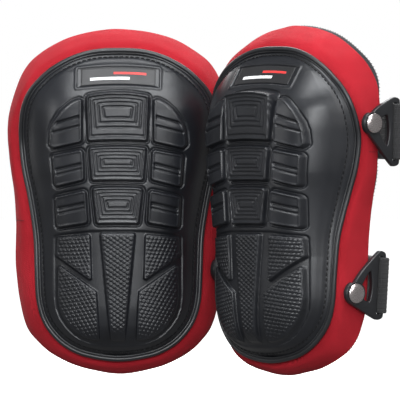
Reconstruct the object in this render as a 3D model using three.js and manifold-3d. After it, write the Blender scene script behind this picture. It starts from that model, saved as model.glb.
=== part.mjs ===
// A pair of professional knee pads: moulded cap, thick foam insert and gel pack on a
// fabric-faced foam base, two elastic straps per pad, each hooked on a stud by a flat clip.
// Millimetres. +X to the viewer's right, fronts towards -Y, +Z up.
import * as THREE from 'three';
import { mergeVertices } from 'three/addons/utils/BufferGeometryUtils.js';
import Module from 'manifold-3d';

const wasm = await Module();
wasm.setup();

// ---------------------------------------------------------------- driving dimensions
const LEFT_POS = [-0.698, -39.994, 0], LEFT_YAW = -1;      // the origin is the middle of the left pad's knee seat
const RIGHT_POS = [91.482, -103.994, 0], RIGHT_YAW = -45;
const CAP_T = 2.2;            // cap wall
const RIM = 4.3;              // cap edge to outer edge of the piping
const PIPING_R = 1.75;
const COVER_T = 1.3, LINER_T = 1.2, GAP = 0.3;
const FOAM_T = [7, 7, 6, 3.5, 1.0];   // foam thickness ring by ring, out to the edge
const STRAP_W = 40, STRAP_T = 1.8, STRAP_CLEAR = 4.3;
const STUD_SHANK_R = 2.2, STUD_HEAD_R = 7.1, WASHER_R = 5.6;
const CLIP_T = 4, CLIP_BASE = 1.7;    // plate thickness, and its height above the fabric
const CLIP_L = 25, CLIP_H = 50, CLIP_SHIFT = 6, CLIP_APEX_R = 8.6;
const TILE_FRONT = 0;         // depth of the flat faces of the centre tiles

// Outer edge of the piping, right half from top to bottom: x, z.
const C = [[0, 110.6], [17.7, 109.6], [33.6, 105.2], [48.5, 97.2], [58.6, 88.5], [65.8, 79.8], [70.6, 69], [72.6, 56],
  [72.6, 42], [70.6, 23.5], [66.9, 6.1], [63.8, -11.2], [61.6, -28.5], [60.8, -50.2], [59.6, -71.9], [55.5, -87],
  [48.4, -97.9], [38.7, -106.6], [24, -113.3], [0, -116.7]];
// Depth of the fabric base under that edge.
const CD = [34.2, 34, 33.6, 33.8, 35.4, 37.8, 41, 45, 47.6, 46.4, 43.6, 39.8, 36.4, 34.3, 33.4, 33, 31.8, 30.4, 29.6, 29.2];
// Outer edge of the base: x, z, depth. The left pad lies more open than the right one.
const BL = [[0, 125, 53], [22, 122.7, 53.2], [41, 117.2, 54], [59.6, 105.8, 55], [69.5, 95, 57], [75.5, 82, 59],
  [80, 67, 59.5], [81.6, 55, 58], [81.4, 42, 57], [79.2, 23.5, 57], [77, 6, 57], [76, -11, 56], [75.6, -28.5, 54.5],
  [75, -51, 54.3], [72.5, -73, 54.8], [67.5, -91.5, 54], [58, -104, 50], [46, -113.5, 46.5], [27.5, -121.5, 44], [0, -126, 43]];
const BR = [[0, 125.7, 53], [22, 123.3, 53.5], [41, 117.2, 53.2], [59.6, 105.8, 53.2], [68, 95.5, 57], [72.5, 83, 60.5],
  [74.5, 68, 61], [75.2, 56, 60.5], [74.8, 42, 60.1], [73, 23.5, 60], [70, 6, 60], [67.5, -11, 59.5], [66, -28.5, 59],
  [65, -50.5, 58.8], [63.5, -72.5, 58.8], [60.5, -90.5, 57], [58.5, -104, 50], [50, -113, 45.5], [30, -121.5, 44], [0, -126, 43]];
// Centre-line depth of the base and of the cap's outside, by height.
const YB = [[111, 34.2], [100, 31.5], [85, 29.5], [60, 28], [0, 27.5], [-60, 27], [-100, 27.5], [-117, 29.2]];
const YO = [[106.3, 31.2], [100, 26.5], [95, 23], [86, 17], [79, 12], [72, 8], [65, 5.5], [50, 3.8], [20, 3.2], [-40, 3.2],
  [-75, 3.6], [-90, 5.2], [-98, 8], [-104, 12.5], [-109, 19], [-112.4, 26]];

// ---------------------------------------------------------------- small maths
const lerp = (a, b, t) => a + (b - a) * t;
function table(t, z) {
  if (z >= t[0][0]) return t[0][1];
  for (let i = 1; i < t.length; i++) {
    if (z >= t[i][0]) return lerp(t[i - 1][1], t[i][1], (t[i - 1][0] - z) / (t[i - 1][0] - t[i][0]));
  }
  return t[t.length - 1][1];
}
const mirror = (half) => [...half, ...half.slice(1, -1).reverse().map(([x, ...r]) => [-x, ...r])];
const closedC = mirror(C), closedCD = mirror(CD.map((d) => [0, d])).map((p) => p[1]);
const N = closedC.length;                    // 38 stations round the pad
// Outward normal of the outline in the front view at each station.
function outward(outline) {
  return outline.map((p, i) => {
    const a = outline[(i + N - 1) % N], b = outline[(i + 1) % N];
    const tx = b[0] - a[0], tz = b[1] - a[1], l = Math.hypot(tx, tz);
    return [-tz / l, tx / l];
  });
}
const nC = outward(closedC);
const shellEdge = closedC.map((p, i) => [p[0] - RIM * nC[i][0], p[1] - RIM * nC[i][1]]);
const widthTable = (outline) => outline.slice(0, C.length).map((p) => [p[1], p[0]]);
const wC = widthTable(closedC), wS = widthTable(shellEdge);
const dC = C.map((p, i) => [p[1], CD[i]]);
const baseDepth = (x, z) => {
  const y0 = table(YB, z), s = Math.min(1, Math.abs(x) / Math.max(table(wC, z), 0.5));
  return lerp(y0, table(dC, z), Math.pow(s, 2.4));
};
const dS = shellEdge.slice(0, C.length).map((p) => [p[1], baseDepth(p[0], p[1]) - 2.9]);
const capDepth = (x, z) => {
  const y0 = table(YO, z), s = Math.min(1, Math.abs(x) / Math.max(table(wS, z), 0.5));
  const m = z > 20 ? 4.2 : z < -40 ? 2.8 : lerp(2.8, 4.2, (z + 40) / 60);
  return lerp(y0, table(dS, z), Math.pow(s, m));
};

// A surface as rings of N points about a centre point; each point has a front-facing normal.
const V = (x, y, z) => new THREE.Vector3(x, y, z);
function rings(centre, list) {
  const grid = list;
  const at = (j, i) => (j < 0 ? centre : grid[j][(i + N) % N]);
  const normals = grid.map((ring, j) => ring.map((p, i) => {
    const along = at(j, i + 1).clone().sub(at(j, i - 1));
    const out = (j + 1 < grid.length ? at(j + 1, i) : at(j, i)).clone().sub(at(j - 1, i));
    const n = along.cross(out).normalize();
    return n.y > 0 && Math.abs(n.y) > 0.02 ? n.negate() : n;
  }));
  return { centre, grid, normals, cn: V(0, -1, 0) };
}
// Offset along the front normal, by one value per ring.
function offset(s, amount) {
  const value = (j) => (Array.isArray(amount) ? amount[j] : amount);
  return {
    centre: s.centre.clone().addScaledVector(s.cn, value(0)),
    grid: s.grid.map((ring, j) => ring.map((p, i) => p.clone().addScaledVector(s.normals[j][i], value(j)))),
  };
}
// A closed slab between a front sheet and a back sheet with the same rings.
function slab(front, back, step = 1) {
  const idx = []; const pos = [];
  const push = (p) => { pos.push(p.x, p.y, p.z); return pos.length / 3 - 1; };
  const put = (s) => [push(s.centre), s.grid.map((r) => r.filter((_, i) => i % step === 0).map(push))];
  const [fc, f] = put(front), [bc, b] = put(back);
  const n = f[0].length;
  for (let i = 0; i < n; i++) {
    const k = (i + 1) % n;
    idx.push(fc, f[0][i], f[0][k], bc, b[0][k], b[0][i]);
    for (let j = 0; j + 1 < f.length; j++) {
      idx.push(f[j][i], f[j + 1][i], f[j + 1][k], f[j][i], f[j + 1][k], f[j][k]);
      idx.push(b[j][i], b[j + 1][k], b[j + 1][i], b[j][i], b[j][k], b[j + 1][k]);
    }
    const e = f.length - 1;
    idx.push(f[e][i], b[e][i], b[e][k], f[e][i], b[e][k], f[e][k]);
  }
  return outwardFacing(geometry(pos, idx));
}
function geometry(pos, idx) {
  const g = new THREE.BufferGeometry();
  g.setAttribute('position', new THREE.Float32BufferAttribute(pos, 3));
  g.setIndex(idx);
  return g;
}
function volume(g) {
  const p = g.attributes.position, ix = g.index.array; let v = 0;
  const a = V(), b = V(), c = V();
  for (let t = 0; t < ix.length; t += 3) {
    a.fromBufferAttribute(p, ix[t]); b.fromBufferAttribute(p, ix[t + 1]); c.fromBufferAttribute(p, ix[t + 2]);
    v += a.dot(b.clone().cross(c)) / 6;
  }
  return v;
}
function outwardFacing(g) {
  if (volume(g) < 0) {
    const a = g.index.array;
    for (let t = 0; t < a.length; t += 3) { const k = a[t + 1]; a[t + 1] = a[t + 2]; a[t + 2] = k; }
  }
  return g;
}
// ---------------------------------------------------------------- booleans
function solid(g) {
  g = g.clone(); for (const k of Object.keys(g.attributes)) if (k !== 'position') g.deleteAttribute(k);
  g = mergeVertices(g, 1e-4);
  const mesh = new wasm.Mesh({ numProp: 3, vertProperties: new Float32Array(g.attributes.position.array), triVerts: new Uint32Array(g.index.array) });
  mesh.merge();
  return new wasm.Manifold(mesh);
}
function back(m) {
  const r = m.getMesh(); const g = new THREE.BufferGeometry();
  g.setAttribute('position', new THREE.Float32BufferAttribute(Array.from(r.vertProperties), 3));
  g.setIndex(Array.from(r.triVerts));
  return g;
}
const cut = (g, ...tools) => back(tools.reduce((m, t) => m.subtract(solid(t)), solid(g)));
const join = (g, ...more) => back(more.reduce((m, t) => m.add(solid(t)), solid(g)));

// ---------------------------------------------------------------- sheets of one pad
const CZ = -4;                               // height of the ring centre
const ringOf = (outline, r, depth) => outline.map(([x, z]) => {
  const px = x * r, pz = CZ + (z - CZ) * r; return V(px, depth(px, pz), pz);
});
function baseSheet(edge) {
  const inner = [0.45, 0.78, 1.0].map((r) => ringOf(closedC, r, baseDepth));
  const B = mirror(edge);
  const from = inner[2];
  const tip = B.map(([x, z, y]) => V(x, y, z));
  const mid = from.map((p, i) => p.clone().lerp(tip[i], 0.5).add(V(nC[i][0] * 1.2, -1.2, nC[i][1] * 1.2)));
  return rings(V(0, baseDepth(0, CZ), CZ), [...inner, mid, tip]);
}
const capSheet = rings(V(0, capDepth(0, CZ), CZ), [0.3, 0.55, 0.72, 0.85, 0.94, 1].map((r) => ringOf(shellEdge, r, capDepth)));

// A raised plate that follows the cap: four corners in the front view, clockwise from top left.
function plate(q, rise, flat = null, nu = 2, nv = 2) {
  const top = [], low = [];
  for (let j = 0; j <= nv; j++) for (let i = 0; i <= nu; i++) {
    const u = i / nu, v = j / nv;
    const x = lerp(lerp(q[0][0], q[1][0], u), lerp(q[3][0], q[2][0], u), v);
    const z = lerp(lerp(q[0][1], q[1][1], u), lerp(q[3][1], q[2][1], u), v);
    const y = capDepth(x, z);
    top.push(V(x, flat === null ? y - rise : flat, z)); low.push(V(x, y + 1.6, z));
  }
  const pos = [...top, ...low].flatMap((p) => [p.x, p.y, p.z]), idx = [], o = top.length, w = nu + 1;
  const quad = (a, b, c, d) => idx.push(a, b, c, a, c, d);
  for (let j = 0; j < nv; j++) for (let i = 0; i < nu; i++) {
    const a = j * w + i; quad(a, a + w, a + w + 1, a + 1); quad(o + a, o + a + 1, o + a + w + 1, o + a + w);
  }
  for (let i = 0; i < nu; i++) { quad(i, i + 1, o + i + 1, o + i); const a = nv * w + i; quad(a, o + a, o + a + 1, a + 1); }
  for (let j = 0; j < nv; j++) { const a = j * w; quad(a, o + a, o + a + w, a + w); const b = a + nu; quad(b, b + w, o + b + w, o + b); }
  return outwardFacing(geometry(pos, idx));
}
const flip = (q) => [q[1], q[0], q[3], q[2]].map(([x, z]) => [-x, z]);
const centreTiles = [
  [[-22.8, 76.5], [22.8, 76.5], [21.2, 42.5], [-21.2, 42.5]],
  [[-21.2, 37], [21.2, 37], [18.6, 13.2], [-18.6, 13.2]],
  [[-18.6, 9], [18.6, 9], [15.4, -17.8], [-15.4, -17.8]]];
const sideTiles = [
  [[27, 71.5], [34, 70], [44.5, 40], [26.5, 44.5]],
  [[24.4, 35.3], [47.5, 33.5], [46.5, 10.5], [23.2, 14.8]],
  [[22.8, 7.3], [45.5, 3], [44.5, -20], [21, -17.2]]];
const gripPanels = [
  [[19, -24.6], [43, -26.6], [43.5, -40], [18.2, -59.5]],
  [[43.4, -45.5], [44.5, -78], [26.5, -99.5], [13.5, -101.5]],
];
const strip = [[-13, -23.3], [13, -23.3], [5.2, -101], [-5.2, -101]];

// ---------------------------------------------------------------- bands and lathes
// A flat band through stations {p, u (width direction), v (thickness direction)}.
function band(st, width, thick) {
  const pos = [], idx = [];
  for (const s of st) for (const [a, b] of [[-1, -1], [1, -1], [1, 1], [-1, 1]]) {
    const p = s.p.clone().addScaledVector(s.u, a * width / 2).addScaledVector(s.v, b * thick / 2); pos.push(p.x, p.y, p.z);
  }
  const q = (a, b, c, d) => idx.push(a, b, c, a, c, d);
  for (let k = 0; k + 1 < st.length; k++) for (let e = 0; e < 4; e++) {
    const a = k * 4 + e, b = k * 4 + (e + 1) % 4; q(a, b, b + 4, a + 4);
  }
  const l = (st.length - 1) * 4; q(0, 3, 2, 1); q(l, l + 1, l + 2, l + 3);
  return outwardFacing(geometry(pos, idx));
}
// A lathe about local +Y-of-geometry, then turned so that its axis is the given frame's normal.
function turned(profile, segments) {
  return outwardFacing(mergeVertices(strippedLathe(profile, segments), 1e-4));
}
function strippedLathe(profile, segments) {
  const g = new THREE.LatheGeometry(profile.map(([r, h]) => new THREE.Vector2(r, h)), segments);
  g.deleteAttribute('normal'); g.deleteAttribute('uv'); return mergeVertices(g, 1e-4);
}
// Frame of a clip: Q on the fabric, n off the fabric, a outwards (towards the strap), b along the edge.
function place(g, f) {
  const m = new THREE.Matrix4().makeBasis(f.a, f.n, f.b); m.setPosition(f.Q);
  const out = g.clone(); out.applyMatrix4(m); return outwardFacing(out);
}

// ---------------------------------------------------------------- one pad
const colour = { cap: 0x2b2c2f, red: 0xe0303f, black: 0x18181a, foam: 0x3a3a3e, gel: 0x4a90c8, metal: 0xc9bfc0, strap: 0x1c1c1e, badge: 0x222326 };
const material = (c, roughness, metalness = 0) => new THREE.MeshStandardMaterial({ color: c, roughness, metalness });
const M = {
  cap: material(colour.cap, 0.42), piping: material(0x202124, 0.35), badge: material(colour.badge, 0.6),
  red: material(colour.red, 0.85), foam: material(colour.foam, 0.95), gel: material(colour.gel, 0.3),
  black: material(colour.black, 0.9), clip: material(0x1a1b1d, 0.4), metal: material(colour.metal, 0.28, 1), strap: material(colour.strap, 0.92),
};
const pair = new THREE.Group();

// The clip frame: on ring edges of the base sheet at height z, at a share of the wing's width.
function clipFrame(edge, zWant, out) {
  const half = C.map((p, i) => V(p[0], CD[i], p[1])), tip = edge.map(([x, z, y]) => V(x, y, z));
  let i = half.findIndex((p) => p.z < zWant); const t = (half[i - 1].z - zWant) / (half[i - 1].z - half[i].z);
  const c = half[i - 1].clone().lerp(half[i], t), e = tip[i - 1].clone().lerp(tip[i], t);
  const b = tip[i - 1].clone().lerp(half[i - 1], 0.4).sub(tip[i].clone().lerp(half[i], 0.4)).normalize();   // up along the edge
  const l = c.distanceTo(e);
  const mid = c.clone().lerp(e, 0.5).add(V(1.2, -1.2, 0));
  const s = out / l;
  const Q = s < 0.5 ? c.clone().lerp(mid, s / 0.5) : mid.clone().lerp(e, (s - 0.5) / 0.5);
  const a = e.clone().sub(c.clone().lerp(mid, 0.5)).normalize();
  const n = a.clone().cross(b).normalize(); if (n.x < 0) n.negate();
  const bb = n.clone().cross(a).normalize(); if (bb.z < 0) bb.negate();
  Q.addScaledVector(n, 0.35);
  return { Q, a, n, b: bb };
}

function buildPad(side, edge, pos, yaw, clips) {
  const group = new THREE.Group();
  group.position.set(...pos); group.rotation.z = THREE.MathUtils.degToRad(yaw);
  const add = (name, g, m) => { const mesh = new THREE.Mesh(g, m); mesh.name = `${side}_${name}`; group.add(mesh); };

  // cap with its raised tiles and grip panels
  let shell = slab({ centre: capSheet.centre, grid: capSheet.grid }, offset(capSheet, -CAP_T));
  const plates = [...centreTiles.map((q, i) => plate(q, 0, TILE_FRONT, 2, i ? 1 : 4)), ...sideTiles.flatMap((q) => [plate(q, 2.2), plate(flip(q), 2.2)]),
    ...gripPanels.flatMap((q) => [plate(q, 1.8), plate(flip(q), 1.8)]), plate(strip, 2.4, null, 1, 3)];
  shell = join(shell, ...plates);
  add('cap', shell, M.cap);

  // badge in the recess above the tiles
  const bq = (dx, z0, z1) => [[-dx, z1], [dx, z1], [dx, z0], [-dx, z0]];
  const bg = (() => {
    const g = plate(bq(26.5, 83, 95.5), 1.45, null, 4, 2), p = g.attributes.position, half = p.count / 2;
    for (let i = half; i < p.count; i++) p.setY(i, p.getY(i) - 1.6 - 0.5);
    for (let i = 0; i < half; i++) p.setY(i, p.getY(i) - 0.2);
    return g;
  })();
  add('badge', bg, M.badge);

  // piping bead round the cap
  const base = baseSheet(edge);
  const curve = new THREE.CatmullRomCurve3(closedC.map(([x, z], i) => {
    const px = x - 2.0 * nC[i][0], pz = z - 2.0 * nC[i][1];
    return V(px + nC[i][0] * 0.55, baseDepth(px, pz) - PIPING_R - 1.0, pz + nC[i][1] * 0.55);
  }), true, 'centripetal');
  const ring = new THREE.Shape(); for (let k = 0; k < 6; k++) { const t = k * Math.PI / 3; ring[k ? 'lineTo' : 'moveTo'](PIPING_R * Math.cos(t), PIPING_R * Math.sin(t)); }
  const bead = (() => {   // a closed torus-like tube
    const pts = curve.getSpacedPoints(38).slice(0, 38), n = pts.length, posn = [], idx = [];
    pts.forEach((p, i) => {
      const t = pts[(i + 1) % n].clone().sub(pts[(i + n - 1) % n]).normalize();
      const side1 = V(0, 1, 0).cross(t).normalize(), side2 = t.clone().cross(side1);
      for (let k = 0; k < 6; k++) {
        const w = k * Math.PI / 3; const q = p.clone().addScaledVector(side1, PIPING_R * Math.cos(w)).addScaledVector(side2, PIPING_R * Math.sin(w));
        posn.push(q.x, q.y, q.z);
      }
    });
    for (let i = 0; i < n; i++) for (let k = 0; k < 6; k++) {
      const a = i * 6 + k, b = i * 6 + (k + 1) % 6, c = ((i + 1) % n) * 6 + (k + 1) % 6, d = ((i + 1) % n) * 6 + k;
      idx.push(a, b, c, a, c, d);
    }
    return outwardFacing(geometry(posn, idx));
  })();
  add('piping', bead, M.piping);

  // foam insert and gel pack under the cap
  const under = offset(capSheet, -(CAP_T + 0.5));
  const off = { centre: under.centre, grid: [under.grid[0], under.grid[1], under.grid[1].map((p, i) => p.clone().lerp(under.grid[2][i], 0.6))] };
  const flatBack = (s, d) => ({ centre: V(s.centre.x, baseDepth(s.centre.x, s.centre.z) - d, s.centre.z), grid: s.grid.map((r) => r.map((p) => V(p.x, baseDepth(p.x, p.z) - d, p.z))) });
  add('foam_insert', slab(off, flatBack(off, 7.4)), M.foam);
  const gelRings = { centre: V(0, 0, CZ), grid: [0.3, 0.6].map((r) => ringOf(shellEdge, r, () => 0)) };
  add('gel_pack', slab(flatBack(gelRings, 6.2), flatBack(gelRings, 1.6), 2), M.gel);

  // base: red fabric cover, foam, black liner
  const shaft = (f, r) => place(turned([[0, -22], [r, -22], [r, 8], [0, 8]], 10), f);
  const frames = clips.map(([z, out]) => clipFrame(edge, z, out));
  const pockets = frames.map((f, k) => {                         // the washers sit in shallow recesses of the liner
    const h = -(COVER_T + GAP * 2 + LINER_T + clipFoam(k, edge, clips) + 0.35 + 1.2) + 0.3;
    return place(turned([[0, -22], [WASHER_R + 0.5, -22], [WASHER_R + 0.5, h], [0, h]], 12), f);
  });
  const holes = frames.map((f) => shaft(f, STUD_SHANK_R + 0.3));
  const t1 = COVER_T, t2 = FOAM_T.map((t) => -(COVER_T + GAP + t)), t3 = t2.map((t) => t - GAP), t4 = t3.map((t) => t - LINER_T);
  const lay = (o1, o2) => slab(offset(base, o1), offset(base, o2));
  add('base_cover', cut(lay(0, -t1), ...holes), M.red);
  add('base_foam', cut(lay(-(t1 + GAP), t2), ...holes, ...pockets), M.foam);
  const grow = (s) => { s.grid[s.grid.length - 1].forEach((p, i) => { const d = base.grid[4][i].clone().sub(base.grid[3][i]).normalize(); p.addScaledVector(d, 1.0); }); return s; };
  const liner = slab(grow(offset(base, t3)), grow(offset(base, t4)));
  add('base_liner', cut(liner, ...holes, ...pockets), M.black);

  // two clips, studs and straps
  frames.forEach((f, k) => {
    const which = k === 0 ? 'upper' : 'lower', up = k === 0 ? -1 : 1, sh = up * CLIP_SHIFT;
    const L = CLIP_L + (clips[k][2] ?? 0);
    const shape = new THREE.Shape(), pt = [];
    // outline: apex arc, then straight arms to the strap bar
    const y1 = sh + CLIP_H / 2, y0 = sh - CLIP_H / 2;
    for (let i = 0; i <= 8; i++) { const t = THREE.MathUtils.degToRad(lerp(118, 242, i / 8)); pt.push([CLIP_APEX_R * Math.cos(t), CLIP_APEX_R * Math.sin(t)]); }
    pt.push([L - 7.5, y0 + 0.5], [L - 5, y0], [L - 1.5, y0 + 1], [L, y0 + 3.5], [L, y1 - 3.5], [L - 1.5, y1 - 1], [L - 5, y1], [L - 7.5, y1 - 0.5]);
    pt.forEach(([x, y], i) => (i ? shape.lineTo(x, y) : shape.moveTo(x, y)));
    const win = new THREE.Path(), wp = [];   // keyhole for the stud, opening into a bowed window
    for (let i = 0; i <= 6; i++) { const t = THREE.MathUtils.degToRad(lerp(60, 300, i / 6)); wp.push([2.75 * Math.cos(t), 2.75 * Math.sin(t)]); }
    wp.push([4.4, -3.2 + sh * 0.2], [12.2, sh * 0.85 - 12.5], [14, sh * 0.85 - 9], [15.4, sh * 0.85], [14, sh * 0.85 + 9], [12.2, sh * 0.85 + 12.5], [4.4, 3.2 + sh * 0.2]);
    wp.forEach(([x, y], i) => (i ? win.lineTo(x, y) : win.moveTo(x, y)));
    const slot = new THREE.Path(); [[L - 6.8, sh - 20.6], [L - 3.9, sh - 20.6], [L - 3.9, sh + 20.6], [L - 6.8, sh + 20.6]].forEach(([x, y], i) => (i ? slot.lineTo(x, y) : slot.moveTo(x, y)));
    shape.holes.push(win, slot);
    const ex = new THREE.ExtrudeGeometry(shape, { depth: CLIP_T, bevelEnabled: false, curveSegments: 1 });
    ex.deleteAttribute('normal'); ex.deleteAttribute('uv');
    const pg = mergeVertices(ex, 1e-4);
    // shape x to a, shape y to b, depth to n
    const m = new THREE.Matrix4().makeBasis(f.a, f.b, f.n); m.setPosition(f.Q.clone().addScaledVector(f.n, CLIP_BASE)); pg.applyMatrix4(m);
    add(`${which}_clip`, outwardFacing(pg), M.clip);

    // stud: shank through the base, flange and low domed head over the clip
    const top = CLIP_BASE + CLIP_T + GAP + 0.1, sr = STUD_SHANK_R;
    const i1 = f.tBack ?? -0; const backT = -(COVER_T + GAP * 2 + LINER_T + clipFoam(k, edge, clips) + 0.35 + 1.2);
    add(`${which}_stud`, place(turned([[0, backT - 1.9], [sr, backT - 1.9], [sr, top], [STUD_HEAD_R, top], [STUD_HEAD_R, top + 1.1], [6.5, top + 2.0], [4.2, top + 2.7], [0, top + 3]], 16), f), M.metal);
    add(`${which}_stud_washer`, place(turned([[sr + GAP, backT - 1.3], [WASHER_R, backT - 1.3], [WASHER_R, backT], [sr + GAP, backT], [sr + GAP, backT - 1.3]], 12), f), M.metal);

    // strap folded over the bar, then across the back to the other wing
    const at = (a, n, b = sh) => f.Q.clone().addScaledVector(f.a, a).addScaledVector(f.n, n).addScaledVector(f.b, b);
    const nb = CLIP_BASE - 0.3, nt = CLIP_BASE + CLIP_T, T = 1.5, legEnd = -6.5;
    const fold = new THREE.Shape();
    const inA = L - 4.25, inB = L + 0.35, outA = inA - T, outB = inB + T;
    [[outA, legEnd], [inA, legEnd], [inA, nt + 0.35], [inB, nt + 0.35], [inB, legEnd], [outB, legEnd], [outB, nt + 0.6], [outB - 0.9, nt + 0.35 + T], [outA + 0.9, nt + 0.35 + T], [outA, nt + 0.6]]
      .forEach(([x, y], i) => (i ? fold.lineTo(x, y) : fold.moveTo(x, y)));
    const fg = new THREE.ExtrudeGeometry(fold, { depth: STRAP_W, bevelEnabled: false, curveSegments: 1 });
    fg.deleteAttribute('normal'); fg.deleteAttribute('uv');
    const fm = mergeVertices(fg, 1e-4); fm.translate(0, 0, sh - STRAP_W / 2);
    fm.applyMatrix4(new THREE.Matrix4().makeBasis(f.a, f.n, f.b).setPosition(f.Q));
    add(`${which}_strap_fold`, outwardFacing(fm), M.strap);

    // strap path: a cubic from the fold to the far wing
    const zEnd = at(L - 3, 0).z, s0 = at(L + 1.0, legEnd - 0.6), inward = f.n.clone().negate();
    const half = C.map((p, i) => V(p[0], CD[i], p[1])), tip = edge.map(([x, z, y]) => V(x, y, z));
    let i = tip.findIndex((p) => p.z < zEnd); const tt = (tip[i - 1].z - zEnd) / (tip[i - 1].z - tip[i].z);
    const e = tip[i - 1].clone().lerp(tip[i], tt); e.x = -e.x;
    const h = half[i - 1].clone().lerp(half[i], tt); h.x = -h.x;
    const backs = offset(base, t4).grid.slice(3).map((r) => r.filter((p) => p.x < -20 && Math.abs(p.z - zEnd) < 60).sort((p, q) => q.z - p.z));
    const across = backs.map((r) => { const j = r.findIndex((p) => p.z < zEnd); const w = (r[j - 1].z - zEnd) / (r[j - 1].z - r[j].z); return r[j - 1].clone().lerp(r[j], w); });
    const run = across[1].clone().sub(across[0]).setZ(0).normalize(), lift = V(-run.y, run.x, 0); if (lift.x < 0) lift.negate();
    const endP = across[0].clone().addScaledVector(run, -2).addScaledVector(lift, STRAP_CLEAR + (side === 'left' ? 0 : 1.9));
    const leave = across[1].clone().addScaledVector(run, 0.5).addScaledVector(lift, STRAP_CLEAR + (side === 'left' ? 0 : 1.9));
    const deep = side === 'left' ? 30 : 26;
    const bez = new THREE.CubicBezierCurve3(s0.clone(), s0.clone().addScaledVector(inward, 42).add(V(0, deep, 0)), leave.clone().addScaledVector(run, 20).add(V(16, deep * 0.9, 0)), leave.clone());
    const pts = bez.getPoints(14); pts.push(leave.clone().lerp(endP, 0.5), endP);
    const stations = pts.map((p, q) => {
      const t = (q === 0 ? pts[1].clone().sub(p) : q === pts.length - 1 ? p.clone().sub(pts[q - 1]) : pts[q + 1].clone().sub(pts[q - 1])).normalize();
      const share = Math.min(1, q / 5), u = f.b.clone().lerp(V(0, 0, 1), share).normalize();
      if (q === 0) t.copy(inward);
      const v = t.clone().cross(u).normalize(); const uu = v.clone().cross(t).normalize();
      return { p, u: uu, v, t };
    });
    add(`${which}_strap`, band(stations, STRAP_W, STRAP_T), M.strap);
    // inner tail of the same webbing, folded back from the slot, lying inside the strap
    const sgn = stations[3].v.y > 0 ? -1 : 1;   // towards the leg
    const tail = stations.slice(0, 7).map((s, q) => ({ p: s.p.clone().addScaledVector(s.v, sgn * lerp(7.0, STRAP_T + 0.5, Math.min(1, q / 2.5))), u: s.u, v: s.v }));
    add(`${which}_strap_tail`, band(tail, STRAP_W - 1, 1.5), M.strap);
    // stitched patch that holds the sewn end
    const last = stations.slice(-3), sg2 = last[1].v.dot(lift) > 0 ? 1 : -1;
    const patch = last.slice(1).map((s) => ({ p: s.p.clone().addScaledVector(s.v, sg2 * (STRAP_T / 2 + 0.3 + 0.5)), u: s.u, v: s.v }));
    add(`${which}_strap_patch`, band(patch, STRAP_W - 2, 1.0), M.black);
  });
  pair.add(group);
}
// Foam thickness under a stud, from its place across the wing.
function clipFoam(k, edge, clips) {
  const [z, out] = clips[k];
  const half = C.map((p, i) => V(p[0], CD[i], p[1])), tip = edge.map(([x, zz, y]) => V(x, y, zz));
  const i = half.findIndex((p) => p.z < z), t = (half[i - 1].z - z) / (half[i - 1].z - half[i].z);
  const l = half[i - 1].clone().lerp(half[i], t).distanceTo(tip[i - 1].clone().lerp(tip[i], t)), s = out / l;
  return s < 0.5 ? lerp(FOAM_T[2], FOAM_T[3], s / 0.5) : lerp(FOAM_T[3], FOAM_T[4], (s - 0.5) / 0.5);
}

buildPad('left', BL, LEFT_POS, LEFT_YAW, [[52, 9.3], [-50, 12.3]]);
buildPad('right', BR, RIGHT_POS, RIGHT_YAW, [[55.4, 5.8], [-65.8, 11.3, 1.8]]);

export default pair;
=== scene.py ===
import math
import bpy
import numpy as np
from mathutils import Matrix, Vector

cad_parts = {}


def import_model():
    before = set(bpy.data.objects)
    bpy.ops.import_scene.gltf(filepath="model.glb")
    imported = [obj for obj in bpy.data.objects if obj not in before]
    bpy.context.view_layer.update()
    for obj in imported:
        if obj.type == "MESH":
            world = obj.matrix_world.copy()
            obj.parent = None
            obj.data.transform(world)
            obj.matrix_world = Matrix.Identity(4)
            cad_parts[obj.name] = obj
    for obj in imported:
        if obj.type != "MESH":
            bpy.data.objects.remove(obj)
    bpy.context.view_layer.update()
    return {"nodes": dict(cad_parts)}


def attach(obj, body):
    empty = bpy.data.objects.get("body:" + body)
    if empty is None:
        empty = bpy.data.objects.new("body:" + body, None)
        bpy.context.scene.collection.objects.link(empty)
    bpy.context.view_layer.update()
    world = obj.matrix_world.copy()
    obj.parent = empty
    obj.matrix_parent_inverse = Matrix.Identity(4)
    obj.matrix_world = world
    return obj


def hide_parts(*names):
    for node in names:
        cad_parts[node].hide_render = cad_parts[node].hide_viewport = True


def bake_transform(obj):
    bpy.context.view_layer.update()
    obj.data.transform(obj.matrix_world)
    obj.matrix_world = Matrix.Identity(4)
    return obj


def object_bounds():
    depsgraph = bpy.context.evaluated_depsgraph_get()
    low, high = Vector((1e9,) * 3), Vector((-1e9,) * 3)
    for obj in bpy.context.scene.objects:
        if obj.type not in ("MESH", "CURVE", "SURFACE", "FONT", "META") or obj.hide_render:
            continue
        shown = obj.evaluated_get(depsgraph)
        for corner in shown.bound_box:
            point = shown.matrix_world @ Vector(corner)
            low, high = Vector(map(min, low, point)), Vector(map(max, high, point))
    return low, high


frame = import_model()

RNG = np.random.default_rng(7)

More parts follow.
